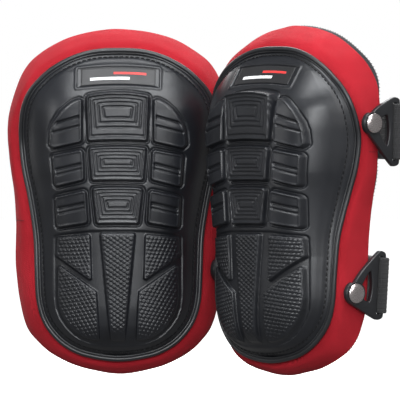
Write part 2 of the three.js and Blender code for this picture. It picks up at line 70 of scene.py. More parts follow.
# ------------------------------------------------------------------ the part's own dimensions, in mm
PADS = {"left": ((-0.698, -39.994), math.radians(-1)), "right": ((91.482, -103.994), math.radians(-45))}
C = [[0, 110.6], [17.7, 109.6], [33.6, 105.2], [48.5, 97.2], [58.6, 88.5], [65.8, 79.8], [70.6, 69], [72.6, 56],
     [72.6, 42], [70.6, 23.5], [66.9, 6.1], [63.8, -11.2], [61.6, -28.5], [60.8, -50.2], [59.6, -71.9], [55.5, -87],
     [48.4, -97.9], [38.7, -106.6], [24, -113.3], [0, -116.7]]
CD = [34.2, 34, 33.6, 33.8, 35.4, 37.8, 41, 45, 47.6, 46.4, 43.6, 39.8, 36.4, 34.3, 33.4, 33, 31.8, 30.4, 29.6, 29.2]
BL = [[0, 125, 53], [22, 122.7, 53.2], [41, 117.2, 54], [59.6, 105.8, 55], [69.5, 95, 57], [75.5, 82, 59],
      [80, 67, 59.5], [81.6, 55, 58], [81.4, 42, 57], [79.2, 23.5, 57], [77, 6, 57], [76, -11, 56], [75.6, -28.5, 54.5],
      [75, -51, 54.3], [72.5, -73, 54.8], [67.5, -91.5, 54], [58, -104, 50], [46, -113.5, 46.5], [27.5, -121.5, 44], [0, -126, 43]]
BR = [[0, 125.7, 53], [22, 123.3, 53.5], [41, 117.2, 53.2], [59.6, 105.8, 53.2], [68, 95.5, 57], [72.5, 83, 60.5],
      [74.5, 68, 61], [75.2, 56, 60.5], [74.8, 42, 60.1], [73, 23.5, 60], [70, 6, 60], [67.5, -11, 59.5], [66, -28.5, 59],
      [65, -50.5, 58.8], [63.5, -72.5, 58.8], [60.5, -90.5, 57], [58.5, -104, 50], [50, -113, 45.5], [30, -121.5, 44], [0, -126, 43]]
YB = [[111, 34.2], [100, 31.5], [85, 29.5], [60, 28], [0, 27.5], [-60, 27], [-100, 27.5], [-117, 29.2]]
YO = [[106.3, 31.2], [100, 26.5], [95, 23], [86, 17], [79, 12], [72, 8], [65, 5.5], [50, 3.8], [20, 3.2], [-40, 3.2],
      [-75, 3.6], [-90, 5.2], [-98, 8], [-104, 12.5], [-109, 19], [-112.4, 26]]
FOAM_T = [7, 7, 6, 3.5, 1.0]
CZ, RIM, PIPING_R = -4.0, 3.2, 1.75
CLIPS = {
    "left_upper": {"L": 25, "Q": [79.362, 52.089, 51.547], "a": [0.53701, 0.84226, -0.04711], "n": [0.84229, -0.53844, -0.02522], "b": [0.04661, 0.02613, 0.99857], "sh": -6, "backT": -7.542,
        "st": [[87.06, 77.65, 44.51, 0.047, 0.026, 0.999], [78.17, 87.72, 44.71, 0.036, 0.022, 0.999], [66.95, 95.48, 44.84, 0.02, 0.02, 1], [53.9, 101.07, 44.93, 0.009, 0.014, 1], [39.48, 104.65, 44.98, 0.003, 0.006, 1], [24.16, 106.37, 44.98, -0.001, 0, 1], [8.43, 106.37, 44.96, -0.002, 0, 1], [-7.24, 104.81, 44.91, -0.003, -0.001, 1], [-22.38, 101.84, 44.85, -0.004, -0.001, 1], [-36.51, 97.6, 44.78, -0.005, -0.002, 1], [-49.17, 92.25, 44.7, -0.005, -0.002, 1], [-59.86, 85.93, 44.63, -0.005, -0.003, 1], [-68.12, 78.81, 44.57, -0.003, -0.004, 1], [-73.48, 71.01, 44.53, -0.001, -0.003, 1], [-75.45, 62.7, 44.52, 0, -0.001, 1], [-72.24, 60.04, 44.52, 0, 0, 1], [-69.02, 57.38, 44.52, 0, 0, 1]]},
    "left_lower": {"L": 25, "Q": [69.418, 42.955, -50.398], "a": [0.54157, 0.84005, -0.03204], "n": [0.84044, -0.5419, -0.00231], "b": [0.0193, 0.02567, 0.99948], "sh": 6, "backT": -8.142,
        "st": [[77.65, 68.8, -45.22, 0.019, 0.026, 0.999], [69.04, 79.01, -45.2, 0.019, 0.017, 1], [58.6, 87.11, -45.18, 0.011, 0.016, 1], [46.71, 93.21, -45.17, 0.006, 0.011, 1], [33.76, 97.41, -45.15, 0.002, 0.006, 1], [20.15, 99.84, -45.14, 0.001, 0, 1], [6.25, 100.58, -45.13, 0.001, 0, 1], [-7.54, 99.77, -45.13, 0, 0, 1], [-20.84, 97.49, -45.12, 0, 0, 1], [-33.26, 93.88, -45.11, 0, 0, 1], [-44.41, 89.02, -45.11, 0, 0, 1], [-53.9, 83.04, -45.11, 0, 0, 1], [-61.36, 76.05, -45.11, 0, 0, 1], [-66.38, 68.15, -45.11, 0, 0, 1], [-68.58, 59.45, -45.11, 0, 0, 1], [-63.97, 53.97, -45.11, 0, 0, 1], [-59.36, 48.5, -45.11, 0, 0, 1]]},
    "right_upper": {"L": 25, "Q": [74.802, 49.9, 55.392], "a": [0.10958, 0.99398, 0], "n": [0.99371, -0.10955, -0.0233], "b": [0.02315, -0.00255, 0.99973], "sh": -6, "backT": -8.789,
        "st": [[70.46, 76.54, 49.56, 0.023, -0.003, 1], [60.9, 82.59, 49.74, 0.015, 0, 1], [50.3, 87.63, 49.86, 0.009, 0.001, 1], [38.91, 91.64, 49.93, 0.004, 0, 1], [26.99, 94.6, 49.95, 0.001, 0, 1], [14.78, 96.49, 49.94, -0.002, 0, 1], [2.56, 97.3, 49.9, -0.004, 0, 1], [-9.43, 97.01, 49.84, -0.006, 0, 1], [-20.93, 95.6, 49.77, -0.007, -0.001, 1], [-31.67, 93.06, 49.68, -0.008, -0.002, 1], [-41.42, 89.37, 49.6, -0.007, -0.003, 1], [-49.9, 84.51, 49.52, -0.006, -0.004, 1], [-56.86, 78.47, 49.45, -0.004, -0.004, 1], [-62.05, 71.23, 49.41, -0.002, -0.003, 1], [-65.2, 62.77, 49.39, 0, -0.001, 1], [-63.6, 58.03, 49.39, 0, 0, 1], [-61.99, 53.29, 49.39, 0, 0, 1]]},
    "right_lower": {"L": 26.8, "Q": [63.117, 43.704, -66.05], "a": [0.12179, 0.99236, -0.01972], "n": [0.99059, -0.12277, -0.06046], "b": [0.06242, 0.01217, 0.99798], "sh": 6, "backT": -8.431,
        "st": [[59.84, 72.24, -60.18, 0.062, 0.012, 0.998], [50.65, 78.44, -59.72, 0.048, 0.011, 0.999], [41, 83.67, -59.4, 0.031, 0.011, 0.999], [31.05, 87.91, -59.21, 0.016, 0.008, 1], [20.95, 91.13, -59.14, 0.004, 0.005, 1], [10.86, 93.3, -59.16, -0.005, 0.001, 1], [0.93, 94.39, -59.25, -0.013, 0.001, 1], [-8.69, 94.38, -59.4, -0.018, -0.001, 1], [-17.84, 93.23, -59.59, -0.022, -0.004, 1], [-26.37, 90.93, -59.8, -0.023, -0.008, 1], [-34.13, 87.44, -60.02, -0.021, -0.012, 1], [-40.96, 82.73, -60.22, -0.017, -0.014, 1], [-46.7, 76.79, -60.38, -0.01, -0.013, 1], [-51.21, 69.57, -60.49, -0.004, -0.008, 1], [-54.33, 61.06, -60.53, 0, -0.003, 1], [-52.39, 53.42, -60.53, 0, 0, 1], [-50.45, 45.79, -60.53, 0, 0, 1]]},
}

# ------------------------------------------------------------------ small maths
def ss(t):
    t = np.clip(t, 0, 1)
    return t * t * (3 - 2 * t)


def unit(v):
    v = np.asarray(v, float)
    return v / np.maximum(np.linalg.norm(v, axis=-1, keepdims=True), 1e-12)


def monotone(table):
    """Smooth monotone cubic through a table of (z, value)."""
    t = np.array(sorted(table), float)
    x, y = t[:, 0], t[:, 1]
    h, d = np.diff(x), np.diff(y) / np.diff(x)
    m = np.zeros(len(x))
    m[0], m[-1] = d[0], d[-1]
    for i in range(1, len(x) - 1):
        if d[i - 1] * d[i] > 0:
            w1, w2 = 2 * h[i] + h[i - 1], h[i] + 2 * h[i - 1]
            m[i] = (w1 + w2) / (w1 / d[i - 1] + w2 / d[i])

    def f(q):
        q = np.clip(np.asarray(q, float), x[0], x[-1])
        i = np.clip(np.searchsorted(x, q) - 1, 0, len(x) - 2)
        t = (q - x[i]) / h[i]
        return (y[i] * (1 + 2 * t) * (1 - t) ** 2 + m[i] * h[i] * t * (1 - t) ** 2
                + y[i + 1] * t * t * (3 - 2 * t) + m[i + 1] * h[i] * t * t * (t - 1))
    return f


def loop(P, m):
    """Closed Catmull-Rom through rows of P, m samples a span."""
    P = np.asarray(P, float)
    a, b, c, d = np.roll(P, 1, 0), P, np.roll(P, -1, 0), np.roll(P, -2, 0)
    out = []
    for k in range(m):
        t = k / m
        out.append(0.5 * (2 * b + (c - a) * t + (2 * a - 5 * b + 4 * c - d) * t * t + (3 * b - a - 3 * c + d) * t ** 3))
    return np.stack(out, 1).reshape(-1, P.shape[1])


def open_curve(P, m):
    """Catmull-Rom through points of shape (k, ..., 3), m samples a span, ends kept."""
    P = np.asarray(P, float)
    E = np.concatenate([2 * P[:1] - P[1:2], P, 2 * P[-1:] - P[-2:-1]])
    out = []
    for i in range(len(P) - 1):
        a, b, c, d = E[i], E[i + 1], E[i + 2], E[i + 3]
        for k in range(m):
            t = k / m
            out.append(0.5 * (2 * b + (c - a) * t + (2 * a - 5 * b + 4 * c - d) * t * t + (3 * b - a - 3 * c + d) * t ** 3))
    out.append(P[-1])
    return np.array(out)


def mirrored(half):
    half = [list(p) for p in half]
    return half + [[-p[0]] + p[1:] for p in half[1:-1][::-1]]


M = 10
LOOP = loop([[p[0], p[1], d] for p, d in zip(mirrored(C), [q[1] for q in mirrored([[0, d] for d in CD])])], M)   # x, z, depth
HALF = 19 * M + 1
NRM = unit(np.roll(LOOP[:, :2], -1, 0) - np.roll(LOOP[:, :2], 1, 0)) @ np.array([[0, 1], [-1, 0]])
if NRM[19 * M // 2, 0] < 0:
    NRM = -NRM
YBf, YOf = monotone(YB), monotone(YO)


def by_height(loop_xz, values):
    z, v = loop_xz[:HALF, 1][::-1], np.asarray(values)[:HALF][::-1]
    return lambda q: np.interp(q, z, v)


wC, dC = by_height(LOOP[:, :2], np.abs(LOOP[:, 0])), by_height(LOOP[:, :2], LOOP[:, 2])


def base_depth(x, z):
    y0, s = YBf(z), np.minimum(1, np.abs(x) / np.maximum(wC(z), 0.5))
    return y0 + (dC(z) - y0) * s ** 2.4


EDGE = LOOP[:, :2] - RIM * NRM
wS = by_height(EDGE, np.abs(EDGE[:, 0]))
dS = by_height(EDGE, base_depth(EDGE[:, 0], EDGE[:, 1]) - 2.9)
Z_TOP, Z_BOT = EDGE[0, 1], EDGE[HALF - 1, 1]


def cap_depth(x, z):
    y0 = YOf(z) + np.where(z > 106.3, 0, 0)
    s = np.minimum(1, np.abs(x) / np.maximum(wS(z), 0.5))
    m = np.clip(2.8 + 1.4 * (z + 40) / 60, 2.8, 4.2)
    return y0 + (dS(z) - y0) * s ** m


# ------------------------------------------------------------------ relief of the cap, as a height over x, z
def shrink(poly, r):
    P = np.array(poly, float)
    area = 0.5 * np.sum(P[:, 0] * np.roll(P[:, 1], -1) - np.roll(P[:, 0], -1) * P[:, 1])
    if area < 0:
        P = P[::-1]
    e = unit(np.roll(P, -1, 0) - P)
    n = np.stack([-e[:, 1], e[:, 0]], 1)                  # inward for a counter-clockwise outline
    n0 = np.roll(n, 1, 0)
    bis = unit(n + n0)
    return P + bis * (r / np.maximum(np.sum(bis * n, 1, keepdims=True), 0.35))


def sd(x, z, poly, r=0.0):
    """Signed distance into a polygon with corners rounded by r."""
    P = shrink(poly, r)
    best, inside = np.full(x.shape, 1e9), np.zeros(x.shape, bool)
    for (ax, az), (bx, bz) in zip(P, np.roll(P, -1, 0)):
        dx, dz = bx - ax, bz - az
        t = np.clip(((x - ax) * dx + (z - az) * dz) / (dx * dx + dz * dz), 0, 1)
        best = np.minimum(best, np.hypot(x - ax - t * dx, z - az - t * dz))
        hit = ((az > z) != (bz > z)) & (x < (bx - ax) * (z - az) / (bz - az + 1e-12) + ax)
        inside ^= hit
    return np.where(inside, best, -best) + r


def seg(x, z, a, b):
    dx, dz = b[0] - a[0], b[1] - a[1]
    t = np.clip(((x - a[0]) * dx + (z - a[1]) * dz) / (dx * dx + dz * dz), 0, 1)
    return np.hypot(x - a[0] - t * dx, z - a[1] - t * dz)


def trapezium(top_z, bottom_z, wt, wb):
    return [[-wb, bottom_z], [wb, bottom_z], [wt, top_z], [-wt, top_z]]


CENTRE = [
    dict(outer=trapezium(76.2, 42.4, 23.2, 21.8), arch=(2.6, 0.9, 76, 42), frames=[(73.6, 46.2, 20.4, 19.4), (71.2, 51.6, 17.6, 16.2), (68.6, 55.0, 14.2, 13.0), (65.8, 58.2, 10.8, 9.4)]),
    dict(outer=trapezium(38.2, 13.6, 21.2, 18.9), arch=(1.3, 0.7, 38, 14), frames=[(36.0, 16.6, 18.9, 17.0), (33.6, 19.6, 16.1, 14.6), (31.2, 22.2, 13.4, 12.4), (28.7, 24.6, 10.7, 10.0)]),
    dict(outer=trapezium(8.8, -17.8, 18.6, 15.5), arch=(1.2, 0.6, 8, -18), frames=[(6.4, -14.6, 16.4, 13.6), (4.0, -11.6, 13.8, 11.5), (1.6, -9.0, 11.1, 9.3), (-1.2, -6.2, 8.2, 7.0)]),
]
SIDE = [
    dict(outer=[[25.8, 42.2], [47.0, 37.4], [50.2, 40.2], [49.4, 50.2], [47.6, 55.9], [44.4, 61.0], [41.2, 65.6], [37.0, 69.4], [33.4, 72.0], [29.4, 73.6], [25.8, 73.6]], r=2.0, cuts=[([27.4, 61.2], [44.4, 56.4]), ([27.4, 54.2], [47.4, 49.2])]),
    dict(outer=[[23.9, 14.6], [46.0, 9.2], [47.9, 33.0], [25.0, 37.2]], r=2.6, cuts=[([25.8, 26.8], [46.6, 22.0]), ([25.4, 23.3], [46.4, 18.0])]),
    dict(outer=[[21.4, -16.8], [44.8, -20.4], [45.8, 2.8], [22.9, 7.8]], r=2.6, cuts=[([23.6, -1.6], [44.8, -5.9]), ([23.2, -5.2], [44.6, -9.9])]),
]
GRIPS = [
    dict(outer=[[18.4, -59.6], [45.6, -40.4], [44.6, -26.2], [19.6, -24.2]], r=1.8, rise=1.9, turn=0.55),
    dict(outer=[[12.6, -102.0], [19.4, -101.6], [25.8, -99.6], [31.4, -96.0], [36.4, -91.0], [40.6, -85.0], [43.4, -78.0], [44.6, -70.0], [44.2, -45.2], [15.0, -65.8]], r=2.2, rise=1.9, turn=0.45),
]
STRIP = [[-5.6, -102.4], [5.6, -102.4], [13.2, -23.2], [-13.2, -23.2]]
FIELD = [[-12, -105.5], [12, -105.5], [20.5, -104.3], [28, -101.5], [33.9, -97.4], [39, -92], [43.2, -85.7], [46, -78.5], [47, -70], [47, -24.5], [20, -21.5], [-20, -21.5], [-47, -24.5], [-47, -70], [-46, -78.5], [-43.2, -85.7], [-39, -92], [-33.9, -97.4], [-28, -101.5], [-20.5, -104.3]]
LABEL = [[-30.6, 81.0], [30.6, 81.0], [30.6, 96.2], [-30.6, 96.2]]
LABEL_ARCH = 2.0


def label_z(x, z):
    return z - LABEL_ARCH * (1 - np.clip(np.abs(x) / 30.6, 0, 1) ** 2)


def knurl(x, z, turn, pu=4.8, pv=3.3):
    c, s = math.cos(turn), math.sin(turn)
    u, v = x * c + z * s, -x * s + z * c
    w = np.minimum(np.abs(np.sin(math.pi * (u / pu + v / pv))), np.abs(np.sin(math.pi * (u / pu - v / pv))))
    return ss((w - 0.12) / 0.5)


def relief(x, z, capy):
    ax, h = np.abs(x), np.zeros(x.shape)
    # centre tiles: flat fronts at one depth, with nested frames
    for t in CENTRE:
        a1, a0, zt, zb = t["arch"]
        share = np.clip((z - zb) / (zt - zb), 0, 1)
        ze = z - (a0 + (a1 - a0) * share) * (1 - np.clip(ax / 23, 0, 1) ** 2)
        d = sd(x, ze, t["outer"], 2.2)
        m = ss((d + 0.2) / 1.05)
        top = capy - 0.75 + 0.65 * ss((d - 0.3) / 0.7) * (1 - ss((d - 1.5) / 0.7))
        for zt2, zb2, wt, wb in t["frames"]:
            f = sd(x, ze, trapezium(zt2, zb2, wt, wb), 0.8)
            top = top - 0.85 * np.exp(-(f / 0.42) ** 2) + 0.10 * ss(f / 0.9 + 0.5)
        h = h * (1 - m) + top * m
        h = h - 1.6 * np.exp(-((d + 0.95) / 0.70) ** 2)            # dark line round the tile
    # side tiles with louvre cuts
    for t in SIDE:
        d = sd(ax, z, t["outer"], t["r"])
        m = ss((d + 0.2) / 1.05)
        top = 2.8 + 0.8 * ss((ax - 30) / 18) + 0.5 * ss((d - 0.2) / 0.7) * (1 - ss((d - 1.3) / 0.8))
        inner = ss((d - 1.7) / 0.7)
        for k, (a, b) in enumerate(t["cuts"]):
            g = seg(ax, z, a, b)
            slope = (b[1] - a[1]) / (b[0] - a[0])
            below = a[1] + slope * (ax - a[0]) - z                # positive under the cut
            top = top - (2.1 if k == 0 else 1.5) * np.exp(-(g / 0.62) ** 2) * inner
            if k == 0:
                top = top - 0.9 * inner * ss(below / 0.6) * (1 - ss(below / 4.5))
        h = h * (1 - m) + top * m
        h = h - 1.5 * np.exp(-((d + 0.95) / 0.70) ** 2)
    # grip panels and the tapered strip, in a shallow field
    field = ss(sd(x, z, FIELD, 3.0) / 1.2)
    h = h - 1.3 * field
    for t in GRIPS:
        d = sd(ax, z, t["outer"], t["r"])
        m = ss((d + 0.2) / 1.3)
        k = knurl(ax, z, t["turn"]) * ss((d - 1.6) / 0.7)
        top = t["rise"] + 0.45 * ss((d - 0.1) / 0.5) * (1 - ss((d - 1.1) / 0.6)) + 0.75 * k - 0.2
        h = h * (1 - m) + top * m
    d = sd(x, z, STRIP, 1.8)
    m = ss((d + 0.2) / 1.3)
    k = knurl(x, z, 0.0) * ss((d - 1.6) / 0.8) * ss((z + 99) / 8)
    fade = ss((z + 104) / 9)
    h = h * (1 - m) + (0.6 + 1.9 * fade + 0.75 * k) * m
    # recess of the badge, with its raised frame
    lz = label_z(x, z)
    d = sd(x, lz, LABEL, 0.8)
    h = h + 0.55 * ss((d + 1.4) / 0.7) * (1 - ss((d - 0.4) / 0.7)) - 0.75 * ss((d - 0.4) / 0.7)
    for gx in (28.9,):
        h = h + 0.5 * np.exp(-((ax - gx) / 0.5) ** 2) * ss((d - 1.0) / 0.6)
    # the stitched channel along the edge is cut in cap_front, not here
    return h


def edge_distance(x, z):
    out = np.full(x.shape, 1e9)
    E = EDGE[::2]
    for (ax, az), (bx, bz) in zip(E, np.roll(E, -1, 0)):
        dx, dz = bx - ax, bz - az
        t = np.clip(((x - ax) * dx + (z - az) * dz) / (dx * dx + dz * dz), 0, 1)
        out = np.minimum(out, np.hypot(x - ax - t * dx, z - az - t * dz))
    return out


STITCH_IN = 3.1


def cap_front(x, z):
    capy = cap_depth(x, z)
    h = relief(x, z, capy)
    near = np.minimum(np.abs(x) / np.maximum(wS(z), 1), 1) > 0.84
    near |= (z > Z_TOP - 14) | (z < Z_BOT + 14)
    d = np.full(x.shape, 50.0)
    d[near] = edge_distance(x[near], z[near])
    h = h - 0.85 * np.exp(-((d - STITCH_IN) / 0.85) ** 2) + 0.35 * ss((d - 5.2) / 3.5) * 1.0 - 0.35
    return capy - h


# ------------------------------------------------------------------ meshes
def world(P, side):
    """Pad coordinates in mm to the row frame in metres."""
    (px, py), yaw = PADS[side]
    P = np.asarray(P, float)
    c, s = math.cos(yaw), math.sin(yaw)
    return np.stack([P[..., 0] * c - P[..., 1] * s + px, P[..., 0] * s + P[..., 1] * c + py, P[..., 2]], -1) / 1000.0


def make(name, verts, faces, mat, side=None, smooth=True):
    V = np.asarray(verts, float).reshape(-1, 3)
    if side:
        V = world(V, side)
    me = bpy.data.meshes.new(name)
    me.from_pydata([tuple(v) for v in V], [], [tuple(int(i) for i in f) for f in faces])
    me.validate()
    import bmesh
    bm = bmesh.new()
    bm.from_mesh(me)
    bmesh.ops.recalc_face_normals(bm, faces=bm.faces)
    bm.to_mesh(me)
    bm.free()
    me.polygons.foreach_set("use_smooth", [smooth] * len(me.polygons))
    me.materials.append(mat)
    ob = bpy.data.objects.new(name, me)
    bpy.context.scene.collection.objects.link(ob)
    return ob


def grid_faces(rows, cols, start=0, wrap=False):
    f = []
    for j in range(rows - 1):
        for i in range(cols if wrap else cols - 1):
            k = (i + 1) % cols
            f.append((start + j * cols + i, start + j * cols + k, start + (j + 1) * cols + k, start + (j + 1) * cols + i))
    return f


def place(ob, body, slot, *nodes):
    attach(ob, body)
    if nodes:
        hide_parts(*nodes)
    return ob


def sharp_by_angle(ob, deg=35):
    me = ob.data
    me.set_sharp_from_angle(angle=math.radians(deg))
    return ob


# ------------------------------------------------------------------ materials
def new_mat(name):
    m = bpy.data.materials.new(name)
    m.use_nodes = True
    nt = m.node_tree
    b = nt.nodes["Principled BSDF"]
    return m, nt, b


def coords(nt, scale=(1, 1, 1), rot=(0, 0, 0)):
    tc = nt.nodes.new("ShaderNodeTexCoord")
    mp = nt.nodes.new("ShaderNodeMapping")
    mp.inputs["Scale"].default_value = scale
    mp.inputs["Rotation"].default_value = rot
    nt.links.new(tc.outputs["Object"], mp.inputs["Vector"])
    return mp.outputs["Vector"]


def noise(nt, vec, scale, detail=4, rough=0.55):
    n = nt.nodes.new("ShaderNodeTexNoise")
    n.inputs["Scale"].default_value = scale
    n.inputs["Detail"].default_value = detail
    n.inputs["Roughness"].default_value = rough
    nt.links.new(vec, n.inputs["Vector"])
    return n.outputs["Fac"]


def wave(nt, vec, scale, direction="X", distortion=0.0, detail=1.0):
    n = nt.nodes.new("ShaderNodeTexWave")
    n.bands_direction = direction
    n.inputs["Scale"].default_value = scale
    n.inputs["Distortion"].default_value = distortion
    n.inputs["Detail"].default_value = detail
    nt.links.new(vec, n.inputs["Vector"])
    return n.outputs["Fac"]


def ramp(nt, fac, stops):
    r = nt.nodes.new("ShaderNodeValToRGB")
    while len(r.color_ramp.elements) < len(stops):
        r.color_ramp.elements.new(0.5)
    for e, (p, c) in zip(r.color_ramp.elements, stops):
        e.position = p
        e.color = (*c, 1)
    nt.links.new(fac, r.inputs["Fac"])
    return r.outputs["Color"]


def spread(nt, fac, lo, hi):
    m = nt.nodes.new("ShaderNodeMapRange")
    m.inputs["To Min"].default_value = lo
    m.inputs["To Max"].default_value = hi
    nt.links.new(fac, m.inputs["Value"])
    return m.outputs["Result"]


def math_node(nt, op, a, b):
    m = nt.nodes.new("ShaderNodeMath")
    m.operation = op
    for s, v in zip(m.inputs, (a, b)):
        if isinstance(v, (int, float)):
            s.default_value = v
        else:
            nt.links.new(v, s)
    return m.outputs[0]


def bump(nt, height, b, strength, distance):
    n = nt.nodes.new("ShaderNodeBump")
    n.inputs["Strength"].default_value = strength
    n.inputs["Distance"].default_value = distance
    nt.links.new(height, n.inputs["Height"])
    nt.links.new(n.outputs["Normal"], b.inputs["Normal"])


def moulded(name, dark, light, r0, r1, grain=2600, strength=0.25, spec=0.5):
    """Moulded plastic: fine spark grain, faint mottling, slightly uneven gloss."""
    m, nt, b = new_mat(name)
    v = coords(nt)
    big, fine = noise(nt, v, 38, 3), noise(nt, v, grain, 2, 0.7)
    nt.links.new(ramp(nt, big, [(0.3, dark), (0.7, light)]), b.inputs["Base Color"])
    nt.links.new(spread(nt, noise(nt, v, 120, 4), r0, r1), b.inputs["Roughness"])
    b.inputs["Specular IOR Level"].default_value = spec
    bump(nt, fine, b, strength, 0.00012)
    return m


def knitted(name, dark, light, pitch, rough, sheen, tint, strength=0.5, lift=0.00025):
    """Fine knit: two crossed wave rows under loose noise."""
    m, nt, b = new_mat(name)
    v = coords(nt)
    wx = wave(nt, coords(nt, (1, 1, 0.35)), pitch, "DIAGONAL", 1.2, 2)
    wz = wave(nt, v, pitch * 0.8, "Z", 0.8, 2)
    weave = math_node(nt, "MULTIPLY", wx, wz)
    fuzz = noise(nt, v, 900, 5, 0.7)
    height = math_node(nt, "ADD", weave, math_node(nt, "MULTIPLY", fuzz, 0.6))
    mottled = math_node(nt, "ADD", math_node(nt, "MULTIPLY", noise(nt, v, 26, 3), 0.7), math_node(nt, "MULTIPLY", fuzz, 0.3))
    nt.links.new(ramp(nt, mottled, [(0.3, dark), (0.7, light)]), b.inputs["Base Color"])
    nt.links.new(spread(nt, fuzz, rough - 0.06, rough + 0.06), b.inputs["Roughness"])
    b.inputs["Sheen Weight"].default_value = sheen
    b.inputs["Sheen Roughness"].default_value = 0.45
    b.inputs["Sheen Tint"].default_value = (*tint, 1)
    b.inputs["Specular IOR Level"].default_value = 0.25
    bump(nt, height, b, strength, lift)
    return m


MAT = {
    "cap": moulded("mat_cap", (0.0080, 0.0088, 0.0112), (0.0140, 0.0152, 0.0188), 0.30, 0.42, 1700, 0.5),
    "piping": moulded("mat_piping", (0.014, 0.0145, 0.016), (0.024, 0.025, 0.028), 0.30, 0.40, 1800, 0.15),
    "clip": moulded("mat_clip", (0.013, 0.0135, 0.015), (0.022, 0.023, 0.026), 0.30, 0.42, 2200, 0.22),
    "red": knitted("mat_red_fabric", (0.38, 0.008, 0.016), (0.56, 0.016, 0.030), 1300, 0.80, 0.05, (1.0, 0.35, 0.38), 0.7, 0.0005),
    # thread of the darts: dark red as painted shade of the sewn tuck, much darker than the cloth's own red
    "dart_thread_painted_shade": knitted("mat_dart_thread_painted_shade", (0.10, 0.004, 0.007), (0.20, 0.008, 0.013), 1600, 0.7, 0.1, (1.0, 0.4, 0.4), 0.5),
    "liner": knitted("mat_liner_fabric", (0.017, 0.017, 0.018), (0.042, 0.042, 0.046), 240, 0.85, 0.30, (0.6, 0.6, 0.65), 0.8, 0.0004),
    "thread": knitted("mat_thread", (0.006, 0.006, 0.007), (0.014, 0.014, 0.015), 1600, 0.6, 0.1, (0.5, 0.5, 0.5), 0.6),
    "badge": moulded("mat_badge", (0.010, 0.010, 0.011), (0.016, 0.016, 0.018), 0.42, 0.55, 1500, 0.3),
    "white": moulded("mat_badge_white", (0.80, 0.80, 0.80), (0.88, 0.88, 0.88), 0.45, 0.55, 1500, 0.1),
    "redbar": moulded("mat_badge_red", (0.66, 0.03, 0.03), (0.76, 0.05, 0.045), 0.45, 0.55, 1500, 0.1),
    "foam": moulded("mat_foam", (0.030, 0.030, 0.032), (0.050, 0.050, 0.054), 0.85, 0.95, 700, 0.9),
    "gel": moulded("mat_gel", (0.05, 0.22, 0.46), (0.08, 0.30, 0.58), 0.16, 0.24, 60, 0.4),
}


def webbing_mat():
    m, nt, b = new_mat("mat_webbing")
    v = coords(nt)
    along = wave(nt, v, 190, "Z", 0.4, 1)
    across = wave(nt, coords(nt, (1, 1, 1)), 520, "X", 1.0, 2)
    h = math_node(nt, "ADD", math_node(nt, "MULTIPLY", along, 0.7), math_node(nt, "MULTIPLY", across, 0.5))
    fuzz = noise(nt, v, 1500, 4, 0.7)
    nt.links.new(ramp(nt, fuzz, [(0.3, (0.008, 0.008, 0.0085)), (0.75, (0.024, 0.024, 0.026))]), b.inputs["Base Color"])
    nt.links.new(spread(nt, fuzz, 0.75, 0.95), b.inputs["Roughness"])
    b.inputs["Sheen Weight"].default_value = 0.25
    b.inputs["Sheen Roughness"].default_value = 0.5
    bump(nt, math_node(nt, "ADD", h, fuzz), b, 0.6, 0.0003)
    return m


def metal_mat():
    m, nt, b = new_mat("mat_polished_metal")
    v = coords(nt)
    scratch = noise(nt, coords(nt, (1, 1, 14)), 420, 4, 0.6)
    nt.links.new(ramp(nt, noise(nt, v, 160, 4), [(0.3, (0.66, 0.60, 0.60)), (0.7, (0.76, 0.70, 0.69))]), b.inputs["Base Color"])
    nt.links.new(spread(nt, scratch, 0.20, 0.34), b.inputs["Roughness"])
    b.inputs["Metallic"].default_value = 1.0
    bump(nt, scratch, b, 0.05, 0.00004)
    return m


MAT["webbing"], MAT["metal"] = webbing_mat(), metal_mat()
BY_SLOT = {"foam_insert": "foam", "gel_pack": "gel", "base_foam": "foam", "cap": "cap", "badge": "badge", "piping": "piping",
           "base_cover": "red", "base_liner": "liner"}
for name, node in frame["nodes"].items():
    key = name.split("_", 1)[1]
    pick = BY_SLOT.get(key) or ("metal" if "stud" in key else "liner" if "patch" in key else "webbing" if "strap" in key else "clip")
    node.data.materials.clear()
    node.data.materials.append(MAT[pick])


# ------------------------------------------------------------------ cap
def build_cap(side):
    end = np.linspace(0, 1, 20) ** 2
    z = np.concatenate([Z_TOP - 0.004 - (Z_TOP - 99.0) * end[:-1], np.linspace(99.0, -104.0, 352), (Z_BOT + 0.004 + (-104.0 - Z_BOT) * end[::-1])[1:]])
    s = np.concatenate([np.linspace(-1, -0.8, 19)[:-1], np.linspace(-0.8, 0.8, 173), np.linspace(0.8, 1, 19)[1:]])
    zz, sg = np.meshgrid(z, s, indexing="ij")
    xx = sg * wS(zz)
    yy = cap_front(xx, zz)
    rows, cols = xx.shape
    front = np.stack([xx, yy, zz], -1).reshape(-1, 3)
    idx = np.arange(rows * cols).reshape(rows, cols)
    rim = list(idx[0]) + list(idx[1:, -1]) + list(idx[-1, ::-1][1:]) + list(idx[1:-1, 0][::-1])
    faces = grid_faces(rows, cols)
    verts = [front]
    count, prev = len(front), rim
    B = front[rim]
    for f, add in ((1.0, 2.0), (0.985, 2.2), (0.9, 2.2), (0.7, 2.2), (0.4, 2.2)):
        px, pz = B[:, 0] * f, CZ + (B[:, 2] - CZ) * f
        verts.append(np.stack([px, (B[:, 1] if f == 1.0 else cap_depth(px, pz)) + add, pz], -1))
        ring = list(range(count, count + len(B)))
        faces += [(prev[i], prev[(i + 1) % len(B)], ring[(i + 1) % len(B)], ring[i]) for i in range(len(B))]
        count, prev = count + len(B), ring
    verts.append(np.array([[0, float(cap_depth(np.array(0.0), np.array(CZ))) + 2.2, CZ]]))
    faces += [(prev[i], prev[(i + 1) % len(B)], count) for i in range(len(B))]
    ob = make(f"{side}_cap_shell", np.concatenate(verts), faces, MAT["cap"], side)
    return place(ob, f"{side}_pad", "cap", f"{side}_cap")


